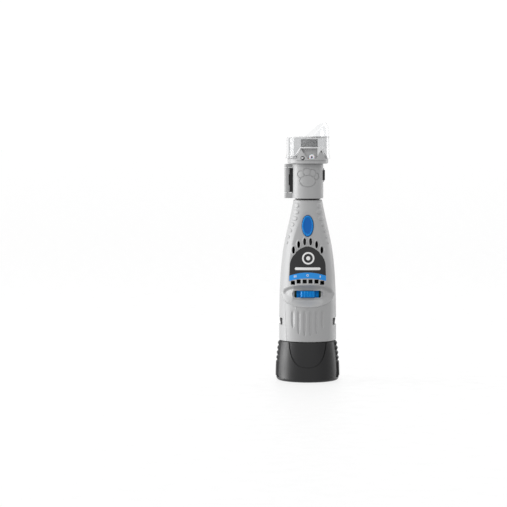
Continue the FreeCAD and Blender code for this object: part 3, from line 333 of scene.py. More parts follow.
def edge_drop(distance, radius):
    """How far a rounded edge falls away at a distance before the edge."""
    inside = np.clip(radius - distance, 0, radius)
    return radius - np.sqrt(radius ** 2 - inside ** 2)


def box_distance(dx, dz, half_x, half_z):
    """Distance outside a rectangle."""
    return np.hypot(np.clip(np.abs(dx) - half_x, 0, None), np.clip(np.abs(dz) - half_z, 0, None))


def oval_distance(dx, dz, half_x, half_z):
    """Roughly the distance outside an ellipse."""
    ratio = np.hypot(dx / half_x, dz / half_z)
    return np.clip(ratio - 1, 0, None) * np.hypot(dx, dz) / np.maximum(ratio, 1e-6)


def full_oval(x, dz, half, up, down, power):
    """How far out in a full oval a point lies: its share of the way to the edge, and that edge's
    distance from the middle in the same direction."""
    share = (np.abs(x) / half) ** power + (np.abs(dz) / np.where(dz > 0, up, down)) ** power
    share = np.maximum(share ** (1 / power), 1e-6)
    return share, np.hypot(x, dz) / share


def bumps(x, z):
    """Height of the grip bumps on the shoulders."""
    height = np.zeros_like(x)
    for bump_z, bump_x, half_x, half_z in GRIP_BUMPS:
        inside = 1 - np.hypot((np.abs(x) - bump_x) / half_x, (z - bump_z) / half_z) ** 2
        height = np.maximum(height, GRIP_HEIGHT * ramp(inside / GRIP_SLOPE))
    return height


def ends_drop(angle, z, radius):
    """Rounding at the housing's two ends and along the parting line of its halves."""
    along = (math.pi / 2 - np.abs(angle)) * radius
    return (edge_drop(z - SEAM_Z, BOTTOM_ROUND) + edge_drop(HOUSING_TOP - z, TOP_ROUND)
            + edge_drop(along, PARTING_ROUND))


def pocketed(surface, x, z, angle):
    """The front surface with the switch pocket dished into it."""
    share, reach = full_oval(x, z - POCKET_Z, POCKET_HALF, POCKET_UP, POCKET_DOWN, POCKET_POWER)
    rim = (1 - share) * reach
    inside = np.clip(rim, 0, None)
    share, reach = full_oval(x, z - LAND_Z, LAND_HALF, LAND_UP, LAND_DOWN, LAND_POWER)
    to_land = np.clip(share - 1, 0, None) * reach
    way = inside / np.maximum(inside + to_land, 1e-6)
    bend = LAND_BEND * np.clip(np.abs(x) - LAND_FLAT, 0, None) ** 2
    land = (LAND_Y - bend) / np.maximum(np.cos(angle), 0.2)
    land = np.minimum(land, surface - POCKET_MIN_DEPTH)
    valley = VALLEY_DEPTH * ridge(way - VALLEY_AT, VALLEY_WIDTH) * ramp((z - LAND_Z) / 2 + 0.5)
    lip = LIP_HEIGHT * ridge(rim + LIP_OUT, LIP_WIDTH) * ramp((POCKET_Z - z) / 2 + 0.5)
    return surface - (surface - land) * ramp(way ** POCKET_PROFILE) - valley + lip


def front_form(x, z, angle):
    """The front half's radius before its finer features."""
    turned_r = PANEL_AXIS + sill_reach(x, z)
    panel = (np.sqrt(turned_r ** 2 - (PANEL_AXIS * np.sin(angle)) ** 2)
             - PANEL_AXIS * np.cos(angle))
    return pocketed(smooth_min(body_radius(z), panel, PANEL_CREASE), x, z, angle)


def shoulder_detail(x, z):
    """The grip bumps and the raised rims of the claw vents, on both halves."""
    add = bumps(x, z)
    for claw_x, claw_z in both(CLAW_VENTS):
        away = oval_distance(x - claw_x, z - claw_z, *CLAW_HALF)
        add += CLAW_RIM * ramp(2 * (1 - away / CLAW_RIM_WIDTH)) - edge_drop(away, EDGE_ROUND)
    return add


def front_detail(x, z, angle, radius):
    """What the finer features add to the front half's radius."""
    add = shoulder_detail(x, z)
    for vent_x, vent_z in both(SQUARE_VENTS):
        add -= edge_drop(box_distance(x - vent_x, z - vent_z, *SQUARE_HALF), EDGE_ROUND)
    half_x, half_z = BUTTON_HALF
    add -= edge_drop(oval_distance(x, z - BUTTON_Z, half_x + BUTTON_GAP, half_z + BUTTON_GAP),
                     EDGE_ROUND)
    away = box_distance(x, z - SLOT_Z, COUNTERSINK_HALF, 0)
    add -= COUNTERSINK_DEPTH * ramp((COUNTERSINK_R - away) / COUNTERSINK_SLOPE)
    add += COUNTERSINK_LIP * ridge(away - COUNTERSINK_R - COUNTERSINK_SLOPE, COUNTERSINK_LIP_WIDTH)
    for flute_x, low in both(FLUTES):
        rise = np.clip((z - low) / FLUTE_TAPER, 1e-6, 1)
        half = FLUTE_HALF * np.sqrt(1 - (1 - rise) ** 2)
        groove = FLUTE_DEPTH * ramp(1 - np.abs(x - flute_x) / half)
        add -= groove * ramp((FLUTE_TOP - z) / FLUTE_FADE) * (z > low)
    line_x = np.interp(z, FRONT_LINE_Z, FRONT_LINE_X)
    below = ramp((FRONT_LINE_Z[1] - z) / FRONT_LINE_FADE)
    add -= FRONT_LINE_DEPTH * ridge(np.abs(x) - line_x, FRONT_LINE_WIDTH) * below
    add -= FRONT_STEP * ramp((line_x - np.abs(x)) / FRONT_STEP_WIDTH) * below
    for tick_x in TICKS_X:
        add += (TICK_HEIGHT * ridge(x - tick_x, TICK_WIDTH)
                * ramp((TICK_TOP - z) / TICK_FADE_TOP) * ramp((z - TICK_LOW) / TICK_FADE_LOW))
    add -= DIMPLE_DEPTH * ramp(1 - np.abs(np.hypot(x, z - DIMPLE_Z) - DIMPLE_R) / DIMPLE_WIDTH)
    return add - window_drop(radius * np.cos(angle), z, angle)


def window_drop(y, z, angle):
    """The rounded edges of the latch windows."""
    middle = sum(WINDOW_Z) / 2
    half = (WINDOW_Z[1] - WINDOW_Z[0]) / 2
    side = np.abs(angle) > math.radians(45)
    return edge_drop(box_distance(y, z - middle, WINDOW_HALF_Y, half), EDGE_ROUND) * side


def rear_detail(x, z, angle, radius):
    """What the finer features add to the rear half's radius."""
    add = shoulder_detail(x, z)
    for screw_x, screw_z in both(HOUSING_SCREWS):
        away = np.clip(np.hypot(x - screw_x, z - screw_z) - SCREW_HEAD_R, 0, None)
        add -= edge_drop(away, EDGE_ROUND)
    return add - window_drop(radius * np.cos(angle), z, angle)


def slider_room(angle, z):
    """How far the inner skin has to stay off the spindle to clear the sliding shutter."""
    off_axis = SHUTTER_ROOM_Y * np.tan(np.abs(angle) * 0.999)
    near = (off_axis < SHUTTER_ROOM_HALF[0]) & (np.abs(z - SLOT_Z) < SHUTTER_ROOM_HALF[1])
    return np.where(near, SHUTTER_ROOM_Y / np.maximum(np.cos(angle), 0.1), 0)


def half_shell(name, angles, heights, facing, form, detail, room=None):
    """One housing half: an outer skin that follows form and detail, a plainer inner skin that stays
    outside room, and flat faces between them at the parting line and at both ends."""
    def skins(some_angles, some_heights):
        z, angle = np.meshgrid(some_heights, some_angles, indexing="ij")
        plain = body_radius(z)
        broad = plain.copy()
        for _ in range(12):
            broad = (broad + form(broad * np.sin(angle), z, angle)) / 2
        return z, angle, plain, broad

    def place(radius, angle, z):
        return np.stack([radius * np.sin(angle), facing * radius * np.cos(angle), z], -1)

    z, angle, plain, broad = skins(angles, heights)
    fine = broad.copy()
    for _ in range(6):
        fine = broad + detail(fine * np.sin(angle), z, angle, fine)
    outer = place(fine - ends_drop(angle, z, plain), angle, z)
    z, angle, plain, broad = skins(INNER_ANGLES, INNER_HEIGHTS)
    radius = np.minimum(plain - WALL, broad - POCKET_WALL)
    if room:
        radius = np.maximum(radius, room(angle, z))
    inner = place(np.where(z > NECK_BORE_Z, NECK_BORE_R, radius), angle, z)
    out_index = np.arange(outer[..., 0].size).reshape(outer.shape[:2])
    in_index = np.arange(inner[..., 0].size).reshape(inner.shape[:2]) + out_index.size
    faces = grid_faces(out_index).tolist() + grid_faces(in_index)[:, ::-1].tolist()
    for side in ((0, slice(None)), (-1, slice(None)), (slice(None), 0), (slice(None), -1)):
        faces.append(out_index[side].tolist() + in_index[side][::-1].tolist())
    return make(name, np.concatenate([outer.reshape(-1, 3), inner.reshape(-1, 3)]), faces)


def steps(*runs):
    """Values along runs of (end, pitch), from the first run's start."""
    start, values = runs[0], [runs[0]]
    for end, pitch in runs[1:]:
        count = max(1, round((end - start) / pitch))
        values += [start + (end - start) * (i + 1) / count for i in range(count)]
        start = end
    return np.array(values)


# ---- housing halves ----------------------------------------------------------------------------

def dense_angles(dense_deg, pitch_deg, side_deg):
    right = steps(0, (dense_deg, pitch_deg), (86, side_deg), (89, 0.6), (90, 0.25))
    return np.radians(np.concatenate([-right[:0:-1], right]))


def shell_heights(*middle):
    return steps(SEAM_Z, (SEAM_Z + 1, 0.16), *middle, (HOUSING_TOP - 0.8, 0.42), (HOUSING_TOP, 0.1))


def window_cutters():
    """The two latch windows, cut through the side walls along X."""
    half_z = (WINDOW_Z[1] - WINDOW_Z[0]) / 2
    outline = rounded_box(0, sum(WINDOW_Z) / 2, WINDOW_HALF_Y, half_z, WINDOW_CORNER)
    cutters = []
    for side in (-1, 1):
        points, faces = prism(outline, WINDOW_FROM_X, OUTSIDE)
        cutters.append(([(side * y, x, z) for x, y, z in points], faces))
    return cutters


def claw_cutters(y0, y1):
    return [prism(oval(x, z, *CLAW_HALF, 40), y0, y1) for x, z in both(CLAW_VENTS)]


INNER_ANGLES = np.radians(np.linspace(-90, 90, 73))
INNER_HEIGHTS = steps(SEAM_Z, (NECK_BORE_Z - 0.02, 1.2), (NECK_BORE_Z + 0.02, 0.04),
                      (HOUSING_TOP, 2.0))
CUT_FROM = 4.0

front_housing = half_shell(
    "front_housing_shell", dense_angles(67, 0.78, 2.0),
    shell_heights((55, 0.45), (77, 0.3), (91, 0.6), (NECK_BORE_Z, 0.32)), -1,
    front_form, front_detail, slider_room)
front_outlines = [rounded_box(x, z, *SQUARE_HALF, SQUARE_CORNER, 4) for x, z in both(SQUARE_VENTS)]
front_outlines += [
    rounded_box(0, SLOT_Z, *SLOT_HALF, SLOT_CORNER),
    oval(0, BUTTON_Z, BUTTON_HALF[0] + BUTTON_GAP, BUTTON_HALF[1] + BUTTON_GAP)]
drill(front_housing, window_cutters() + claw_cutters(-OUTSIDE, -CUT_FROM)
      + [prism(outline, -OUTSIDE, -CUT_FROM) for outline in front_outlines])
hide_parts("front_housing")

rear_housing = half_shell(
    "rear_housing_shell", dense_angles(60, 1.2, 2.0),
    shell_heights((91, 0.8), (NECK_BORE_Z, 0.36)), 1,
    lambda x, z, angle: body_radius(z), rear_detail)
screw_cutters = []
for screw_x, screw_z in both(HOUSING_SCREWS):
    seat = math.sqrt(body_radius(screw_z) ** 2 - screw_x ** 2) - SCREW_SEAT
    head = oval(screw_x, screw_z, SCREW_HEAD_R, SCREW_HEAD_R, 48)
    screw_cutters.append(prism(head, seat, OUTSIDE))
drill(rear_housing, window_cutters() + claw_cutters(CUT_FROM, OUTSIDE) + screw_cutters)
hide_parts("rear_housing")

for shell in (front_housing, rear_housing):
    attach(shell, "tool")
    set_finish(shell, "housing_grey")


# ---- label and its band ------------------------------------------------------------------------

def on_panel(name, x, z, height, depth, around=False, sharp_deg=38):
    """A thin closed plate over grids of x and z, standing height proud of the panel's face."""
    face = np.sqrt((PANEL_AXIS + sill_reach(x, z)) ** 2 - x ** 2) - PANEL_AXIS
    top = np.stack([x, -(face + height), z], -1)
    bottom = np.stack([x, -(face - depth), z], -1)
    return make(name, *wall(top, bottom, around), sharp_deg=sharp_deg)


def between(low, high, rows):
    """A grid whose rows run from low(x) to high(x)."""
    return low + (high - low) * np.linspace(0, 1, rows)[:, None]


def bow(heights, x):
    """An arc across the label: its height in the middle and at the label's edges."""
    middle, edge = heights
    return middle + (edge - middle) * (x / LABEL_HALF) ** 2


def flare(z):
    """How much wider the label grows towards its foot."""
    return LABEL_FLARE * np.clip((LABEL_SPRING - z) / (LABEL_SPRING - BAND_LOW[1]), 0, 1)


LABEL_HEIGHT, BAND_HEIGHT, LABEL_SUNK = 0.12, 0.1, 0.25
BAND_GAP = 0.05

across = np.sin(np.linspace(-math.pi / 2, math.pi / 2, 61))
dome = LABEL_SPRING + (LABEL_TOP - LABEL_SPRING) * (
    1 - np.abs(across) ** LABEL_POWER) ** (1 / LABEL_POWER)
label_z = between(bow(BAND_TOP, LABEL_HALF * across), dome, 34)
label = on_panel("label_plate_dome", (LABEL_HALF + flare(label_z)) * across, label_z,
                 LABEL_HEIGHT, LABEL_SUNK)
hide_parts("label_plate")
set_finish(label, "label_black")

band_x = np.linspace(-LABEL_HALF, LABEL_HALF, 61)
band_z = between(bow(BAND_LOW, band_x), bow(BAND_TOP, band_x) - BAND_GAP, 10)
band = on_panel("speed_band", band_x * (1 + flare(band_z) / LABEL_HALF), band_z,
                BAND_HEIGHT, LABEL_SUNK)
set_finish(band, "button_blue")

MARK_HEIGHT, MARK_DEPTH = 0.15, 0.05


def ring_mark(name, x, z, outer, inner):
    """A printed ring, or a dot where inner is 0."""
    turn = full_turn(48)
    radius = np.linspace(outer, inner, 4)[:, None]
    return on_panel(name, x + radius * np.cos(turn), z + radius * np.sin(turn),
                    MARK_HEIGHT, MARK_DEPTH, around=True)


def bar_mark(name, x, z, half_x, half_z):
    """A printed bar, with round ends where it is wider than tall."""
    t = np.linspace(-1, 1, 31)
    half = np.full_like(t, half_z)
    if half_x > half_z:
        end = np.clip((np.abs(t) * half_x - (half_x - half_z)) / half_z, 0, 0.98)
        half = half_z * np.sqrt(1 - end ** 2)
    xs = np.tile(x + half_x * t, (5, 1))
    return on_panel(name, xs, between(z - half, z + half, 5), MARK_HEIGHT, MARK_DEPTH)


EMBLEM_AT = (0.4, 90.2)
STROKE_HALF = (0.28, 0.8)
marks = [
    ring_mark("label_mark_ring", *EMBLEM_AT, 4.5, 3.3),
    ring_mark("label_mark_dot", *EMBLEM_AT, 1.5, 0.0),
    bar_mark("label_mark_bar", 0.0, 82.6, 9.4, 0.95),
    bar_mark("band_mark_left_a", -9.7, 76.9, *STROKE_HALF),
    bar_mark("band_mark_left_b", -8.5, 77.1, *STROKE_HALF),
    ring_mark("band_mark_middle", 0.0, 77.8, 0.85, 0.5),
    bar_mark("band_mark_right", 9.1, 77.0, *STROKE_HALF),
]
for mark in marks + [label, band]:
    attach(mark, "tool")


# ---- lock button -------------------------------------------------------------------------------

# The button's back, then its side and its dished front: (inset, height over the panel) from the
# middle of the back round to the middle of the front. Where the height is None, it is the back.
BUTTON_BACK = 2.85
BUTTON_PROFILE = ((4.05, None), (2.0, None), (0.0, None), (0.0, 0.2), (0.0, 0.5), (0.06, 0.68),
                  (0.2, 0.84), (0.42, 0.95), (0.68, 0.98), (0.92, 0.9), (1.1, 0.76), (1.25, 0.6),
                  (1.38, 0.5), (1.6, 0.45), (2.2, 0.42), (3.0, 0.4), (4.05, 0.4))
BUSHING_ROOM_R, BUSHING_ROOM_Z = 11.55, 116.5
EARS_HALF, EARS_Z, EARS_DEPTH = 5.05, (109.0, 114.6), (2.25, 3.05)


def button_rings():
    turn = full_turn(96)
    rings = []
    for inset, height in BUTTON_PROFILE:
        x = (BUTTON_HALF[0] - inset) * np.cos(turn)
        z = BUTTON_Z + (BUTTON_HALF[1] - inset) * np.sin(turn)
        face = panel_y(x, z)
        if height is None:
            depth = np.maximum(face - BUTTON_BACK, np.where(z > BUSHING_ROOM_Z, BUSHING_ROOM_R, 0))
        else:
            depth = face + height
        rings.append(np.stack([x, -depth, z], -1))
    return np.array(rings)


def button_ears():
    """The shelf behind the wall that keeps the button in."""
    x, z = np.meshgrid(np.linspace(-EARS_HALF, EARS_HALF, 15), np.linspace(*EARS_Z, 9))
    front, back = (np.stack([x, depth - panel_y(x, z), z], -1) for depth in EARS_DEPTH)
    return wall(front, back)


lock_button = make("lock_button_cap", *joined([loft(button_rings()), button_ears()]), sharp_deg=50)
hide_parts("lock_button")
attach(lock_button, "lock")
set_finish(lock_button, "button_blue")


# ---- speed slider ------------------------------------------------------------------------------

def block(half_x, half_z, front, back, pitch=0.12):
    """A slab facing -Y with round edges. Its front lies front(x, z) from the spindle."""
    xs = np.linspace(-half_x, half_x, round(2 * half_x / pitch) + 1)
    zs = np.linspace(-half_z, half_z, round(2 * half_z / pitch) + 1)
    x, z = np.meshgrid(xs, zs)
    rim = np.minimum(half_x - np.abs(x), half_z - np.abs(z))
    face = front(x, z) - edge_drop(rim, 0.4)
    return wall(np.stack([x, -face, z + SLOT_Z], -1), np.stack([x, 0 * x - back, z + SLOT_Z], -1))


SHUTTER_HALF, SHUTTER_FRONT, SHUTTER_BACK = (8.15, 3.4), 13.8, 12.6
THUMB_HALF, THUMB_FRONT, THUMB_BACK = (5.15, 2.3), 18.2, 13.0
THUMB_CROWN = (0.35, 0.25)
STEM_HALF, STEM_FRONT, STEM_BACK = (1.0, 1.0), 12.7, 11.0
KNURL_PITCH, KNURL_HEIGHT = 1.0, 0.32
THUMB_RIB_PITCH, THUMB_RIB_HEIGHT = 2.0, 0.34


def knurled(x, z):
    def tooth(t):
        return 1 - np.abs(2 * (t / KNURL_PITCH % 1) - 1)
    height = np.minimum(tooth(x + z), tooth(x - z))
    return SHUTTER_FRONT - KNURL_HEIGHT + KNURL_HEIGHT * np.minimum(height * 1.6, 1)


def ribbed_thumb(x, z):
    ribs = THUMB_RIB_HEIGHT * np.cos(2 * math.pi * x / THUMB_RIB_PITCH)
    crown_x, crown_z = THUMB_CROWN
    half_x, half_z = THUMB_HALF
    return (THUMB_FRONT - THUMB_RIB_HEIGHT + ribs - crown_x * (x / half_x) ** 2
            - crown_z * (z / half_z) ** 2)


slider = make("speed_slider_thumb", *joined([
    block(*SHUTTER_HALF, knurled, SHUTTER_BACK),
    block(*THUMB_HALF, ribbed_thumb, THUMB_BACK),
    block(*STEM_HALF, lambda x, z: STEM_FRONT + 0 * x, STEM_BACK)]), sharp_deg=45)
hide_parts("speed_slider")
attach(slider, "slider")
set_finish(slider, "slider_blue")


# ---- battery latches ---------------------------------------------------------------------------

PACK_WIDE, PACK_FROM, PACK_TAPER, PACK_RISE = 22.9, 3.0, 1.95, 25.9
LATCH_FOOT = span("right_latch")[0][2]
PAD_TOP = SEAM_Z - 0.5
PAD_HALF_Y, PAD_RAISED_Y = 8.9, 6.3
PAD_PROUD, PAD_MARGIN, PAD_THICK = 0.6, -0.35, 1.7
PAD_EDGE, PAD_END_EDGE = 0.3, 0.4
RIB_TOP, RIB_PITCH, RIB_COUNT, RIB_DEPTH = 27.1, 3.6, 4, 0.85
ARM_HALF_Y = 5.5
ARM_X, ARM_Z = (16.8, 18.0), (25.6, 46.0)
SHELF_X, SHELF_Z = (16.8, 21.0), (25.6, 27.4)
NOSE_X, NOSE_Z, NOSE_EDGE = 17.0, (41.3, 45.5), 0.4
NOSE_R = ((41.3, LOW_R - 1.1), (44.6, LOW_R - 0.5), (45.2, LOW_R - 0.6), (45.5, LOW_R - 1.2))
PIVOT_X, PIVOT_Z, PIVOT_BOSS_R, PIVOT_BOSS_HALF_Y = 18.8, 5.5, 1.75, 8


def pack_radius(z):
    return PACK_WIDE - PACK_TAPER * ((z - PACK_FROM) / PACK_RISE) ** 2


def upright_grid(low_z, high_z, rows, half_y, cols):
    """Grids of z and y, rising row by row."""
    return np.meshgrid(np.linspace(low_z, high_z, rows), np.linspace(-half_y, half_y, cols),
                       indexing="ij")


def at_radius(radius, y, z):
    """Points to the right of the spindle, at a distance from it."""
    return np.stack([np.sqrt(radius ** 2 - y ** 2), y, z], -1)


def latch_pad():
    """The side pad: a raised ribbed middle between lower margins."""
    z, y = upright_grid(LATCH_FOOT, PAD_TOP, 121, PAD_HALF_Y, 61)
    ribs_low = RIB_TOP - (RIB_COUNT - 0.5) * RIB_PITCH
    wave = 0.5 + 0.5 * np.cos(2 * math.pi * (z - RIB_TOP) / RIB_PITCH)
    ribbed = np.where(z > ribs_low, RIB_DEPTH * (1 - wave ** 0.7),
                      RIB_DEPTH * ramp(1 - (ribs_low - z) / 1.2))
    raised = ramp((PAD_RAISED_Y + 0.3 - np.abs(y)) / 0.7)
    plain = pack_radius(z)
    face = plain + PAD_MARGIN + (PAD_PROUD - PAD_MARGIN - ribbed) * raised
    face -= (edge_drop(PAD_HALF_Y - np.abs(y), PAD_EDGE)
             + edge_drop(np.minimum(z - LATCH_FOOT, PAD_TOP - z), PAD_END_EDGE))
    return wall(at_radius(face, y, z), at_radius(plain - PAD_THICK, y, z))


def latch_nose():
    """The wedge at the arm's tip that fills the housing's window."""
    z, y = upright_grid(*NOSE_Z, 29, PAD_HALF_Y, 41)
    radius = np.interp(z, *zip(*NOSE_R)) - edge_drop(PAD_HALF_Y - np.abs(y), NOSE_EDGE)
    return wall(at_radius(radius, y, z), np.stack([0 * y + NOSE_X, y, z], -1))


def latch_slab(x_span, z_span):
    """A flat block as wide as the latch's arm."""
    z, y = np.meshgrid(z_span, (-ARM_HALF_Y, ARM_HALF_Y), indexing="ij")
    near, away = (np.stack([0 * y + x, y, z], -1) for x in x_span)
    return wall(away, near)


def latch_boss():
    """The closed round bar at the foot that the pivot pin runs through."""
    turn, half_y = full_turn(32), PIVOT_BOSS_HALF_Y
    rings = [np.stack([PIVOT_X + r * np.cos(turn), 0 * turn + y, PIVOT_Z + r * np.sin(turn)], -1)
             for r, y in ((0.0, -half_y), (PIVOT_BOSS_R, -half_y), (PIVOT_BOSS_R, half_y),
                          (0.0, half_y))]
    return loft(np.array(rings))


latches = []
for side, node in ((1, "right_latch"), (-1, "left_latch")):
    points, faces = joined([latch_pad(), latch_nose(), latch_boss(), latch_slab(ARM_X, ARM_Z),
                            latch_slab(SHELF_X, SHELF_Z)])
    mirrored = [(side * x, y, z) for x, y, z in points]
    latch = make(node + "_ribbed", mirrored, faces, sharp_deg=50)
    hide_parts(node)
    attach(latch, node)
    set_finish(latch, "latch_charcoal")
    latches.append(latch)


# ---- small fittings, and a painted shade ring, on the guard ring -------------------------------

RING_FACE_R = 15.55
PIVOT_AT = (-14.1, 162.9)
STOP_AT = (39.4, 167.4)
PAINTED_SHADE_RING_PROFILE = ((0.8, -0.3), (0.8, 0.02), (0.95, 0.1), (1.35, 0.1), (1.5, 0.0), (1.5, -0.3),
                  (0.8, -0.3))
PIVOT_PROFILE = ((0.0, -0.3), (0.74, -0.3), (0.74, 0.12), (0.6, 0.3), (0.3, 0.4), (0.0, 0.42))
STOP_PROFILE = ((0.0, -0.5), (0.55, -0.5), (0.55, 0.0), (0.42, 0.12), (0.0, 0.15))


def turned_fitting(name, degrees, z, profile):
    """A small turned part standing on the ring's face: profile is (radius, height) outward."""
    turn = full_turn(32)
    out = np.array([math.sin(math.radians(degrees)), -math.cos(math.radians(degrees)), 0])
    side = np.array([-out[1], out[0], 0])
    up = np.array([0, 0, 1.0])
    rings = [out * (RING_FACE_R + height) + up * z
             + radius * (side * np.cos(turn)[:, None] + up * np.sin(turn)[:, None])
             for radius, height in profile]
    return make(name, *loft(np.array(rings)), sharp_deg=50)


# A black ring round the pivot pin: painted shade where the pin's surround lies in shadow.
painted_shade_ring = turned_fitting("ring_pivot_painted_shade_ring", *PIVOT_AT, PAINTED_SHADE_RING_PROFILE)
pivot = turned_fitting("ring_pivot_pin", *PIVOT_AT, PIVOT_PROFILE)
stop = turned_fitting("ring_stop_pin", *STOP_AT, STOP_PROFILE)
for fitting, slot in ((painted_shade_ring, "black_plastic"), (pivot, "bearing_steel"), (stop, "black_plastic")):
    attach(fitting, "ring")
    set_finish(fitting, slot)


# ---- softened edges on the CAD nodes -----------------------------------------------------------

EDGE_WIDTHS = {
    "collar_gate": 0.28, "collar_rear": 0.28, "guard_ring": 0.3, "clear_guard": 0.45,
    "battery_case": 0.3, "battery_base": 0.2, "gate_latch": 0.2, "hinge_plate": 0.15,
    "nose_cap": 0.3, "collet_nut": 0.2, "guard_release_tab": 0.25, "battery_tower_cap": 0.3,
    "battery_cells": 0.5,
}
EDGE_DEFAULT = 0.12
ROUND_NODES = ("lock_spring", "left_latch_spring", "right_latch_spring", "front_bearing_balls",
               "rear_bearing_balls", "positive_lead", "negative_lead")


def soften(node, width):
    """Merges the node's flat triangles, then rounds its sharp edges."""
    thing = nodes[node]
    weld = thing.modifiers.new("weld", "WELD")
    weld.merge_threshold = 0.002 * MM
    flat = thing.modifiers.new("flat", "DECIMATE")
    flat.decimate_type, flat.angle_limit = "DISSOLVE", math.radians(0.6)
    edge = thing.modifiers.new("edge", "BEVEL")
    edge.width, edge.segments = width * MM, 3
    edge.limit_method, edge.angle_limit = "ANGLE", math.radians(35)
    thing.modifiers.new("normals", "WEIGHTED_NORMAL").keep_sharp = False


for node, thing in nodes.items():
    if not thing.hide_render and node not in ROUND_NODES:
        soften(node, EDGE_WIDTHS.get(node, EDGE_DEFAULT))


# ---- clear guard -------------------------------------------------------------------------------

GUARD_R = 15.6
GUARD_CORNER_R, GUARD_CORNER_Z, GUARD_TOP = 13.6, 176.6, 178.6
HOOD_CENTRE_R, HOOD_CENTRE_Z = 1.6, 181.2


def wall_part(x, y, z):
    """Which part of the guard's wall a point is in, or None in the round corner under its top."""
    if z > HOOD_CENTRE_Z:
        return "dome"
    if GUARD_CORNER_Z < z < GUARD_TOP + 0.1:
        return "plate" if math.hypot(x, y) < GUARD_CORNER_R else None
    return "cylinder"


def across_wall(part, x, y, z):
    """The direction across the guard's wall at a point."""
    if part == "plate":
        return Vector((0, 0, 1))
    out = Vector((x, y, 0)).normalized()
    if part == "cylinder":
        return out
    return (Vector((x, y, z)) - out * HOOD_CENTRE_R - Vector((0, 0, HOOD_CENTRE_Z))).normalized()


def polish(mesh):
    """Gives the guard's walls the exact normals of their round forms and lists its cut edges."""
    normals = [corner.vector.copy() for corner in mesh.corner_normals]
    cut_edges = set()
    for face in mesh.polygons:
        part = wall_part(*(face.center / MM))
        if part is None:
            continue
        facing = face.normal.dot(across_wall(part, *(face.center / MM)))
        if abs(facing) < 0.8:
            cut_edges.add(face.index)
            continue
        for loop in face.loop_indices:
            point = mesh.vertices[mesh.loops[loop].vertex_index].co / MM
            normals[loop] = across_wall(part, *point) * math.copysign(1, facing)
    mesh.normals_split_custom_set(normals)
    return cut_edges


depsgraph = bpy.context.evaluated_depsgraph_get()
guard = bpy.data.objects.new("clear_guard_cup", bpy.data.meshes.new_from_object(
    nodes["clear_guard"].evaluated_get(depsgraph)))
bpy.context.scene.collection.objects.link(guard)
guard_cut_edges = polish(guard.data)
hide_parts("clear_guard")
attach(guard, "guard")
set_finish(guard, "guard_clear")

# Painted highlights: pale beads laid just under the guard's face, along its notch and round its
# top, stand in for its bright edges.
GUARD_TURN = math.radians(11.0)
NOTCH_OUTLINE = ((-11.7, 163.4), (-8.0, 170.4), (8.0, 170.4), (11.7, 163.4))
TOP_EDGE_R, TOP_EDGE_Z = 14.95, 178.05
EDGE_LINE_R, EDGE_LINE_SINK = 0.42, 0.27


def tube(path, radius, closed):
    """A round bead along a path; an open one ends in points."""
    path = np.array(path)
    along = (np.roll(path, -1, 0) - np.roll(path, 1, 0)) if closed else np.gradient(path, axis=0)
    along /= np.linalg.norm(along, axis=1)[:, None]
    out = path * (1, 1, 0) / np.linalg.norm(path[:, :2], axis=1)[:, None]
    side = np.cross(along, out)
    side /= np.linalg.norm(side, axis=1)[:, None]
    cos, sin = np.cos(full_turn(12))[None, :, None], np.sin(full_turn(12))[None, :, None]
    rings = path[:, None] + radius * (cos * np.cross(side, along)[:, None] + sin * side[:, None])
    if closed:
        return loft(np.concatenate([rings, rings[:1]]))
    point = rings[:1] * 0
    return loft(np.concatenate([point + path[0], rings, point + path[-1]]))


def notch_path():
    """The notch's outline laid on the guard's face."""
    runs = [np.linspace(a, b, 25)[:-1] for a, b in zip(NOTCH_OUTLINE, NOTCH_OUTLINE[1:])]
    x, z = np.concatenate(runs).T
    y = -np.sqrt((GUARD_R - EDGE_LINE_SINK) ** 2 - x ** 2)
    cos, sin = math.cos(GUARD_TURN), math.sin(GUARD_TURN)
    return np.stack([x * cos - y * sin, x * sin + y * cos, z], -1)


circle = full_turn(120)
top_path = np.stack([TOP_EDGE_R * np.cos(circle), TOP_EDGE_R * np.sin(circle),
                     TOP_EDGE_Z + 0 * circle], -1)
edge_lines = [make("guard_notch_edge", *tube(notch_path(), EDGE_LINE_R, False), sharp_deg=60),
              make("guard_top_edge", *tube(top_path, EDGE_LINE_R, True), sharp_deg=60)]
for bead in edge_lines:
    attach(bead, "guard")
    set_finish(bead, "guard_clear")


# ---- materials ---------------------------------------------------------------------------------

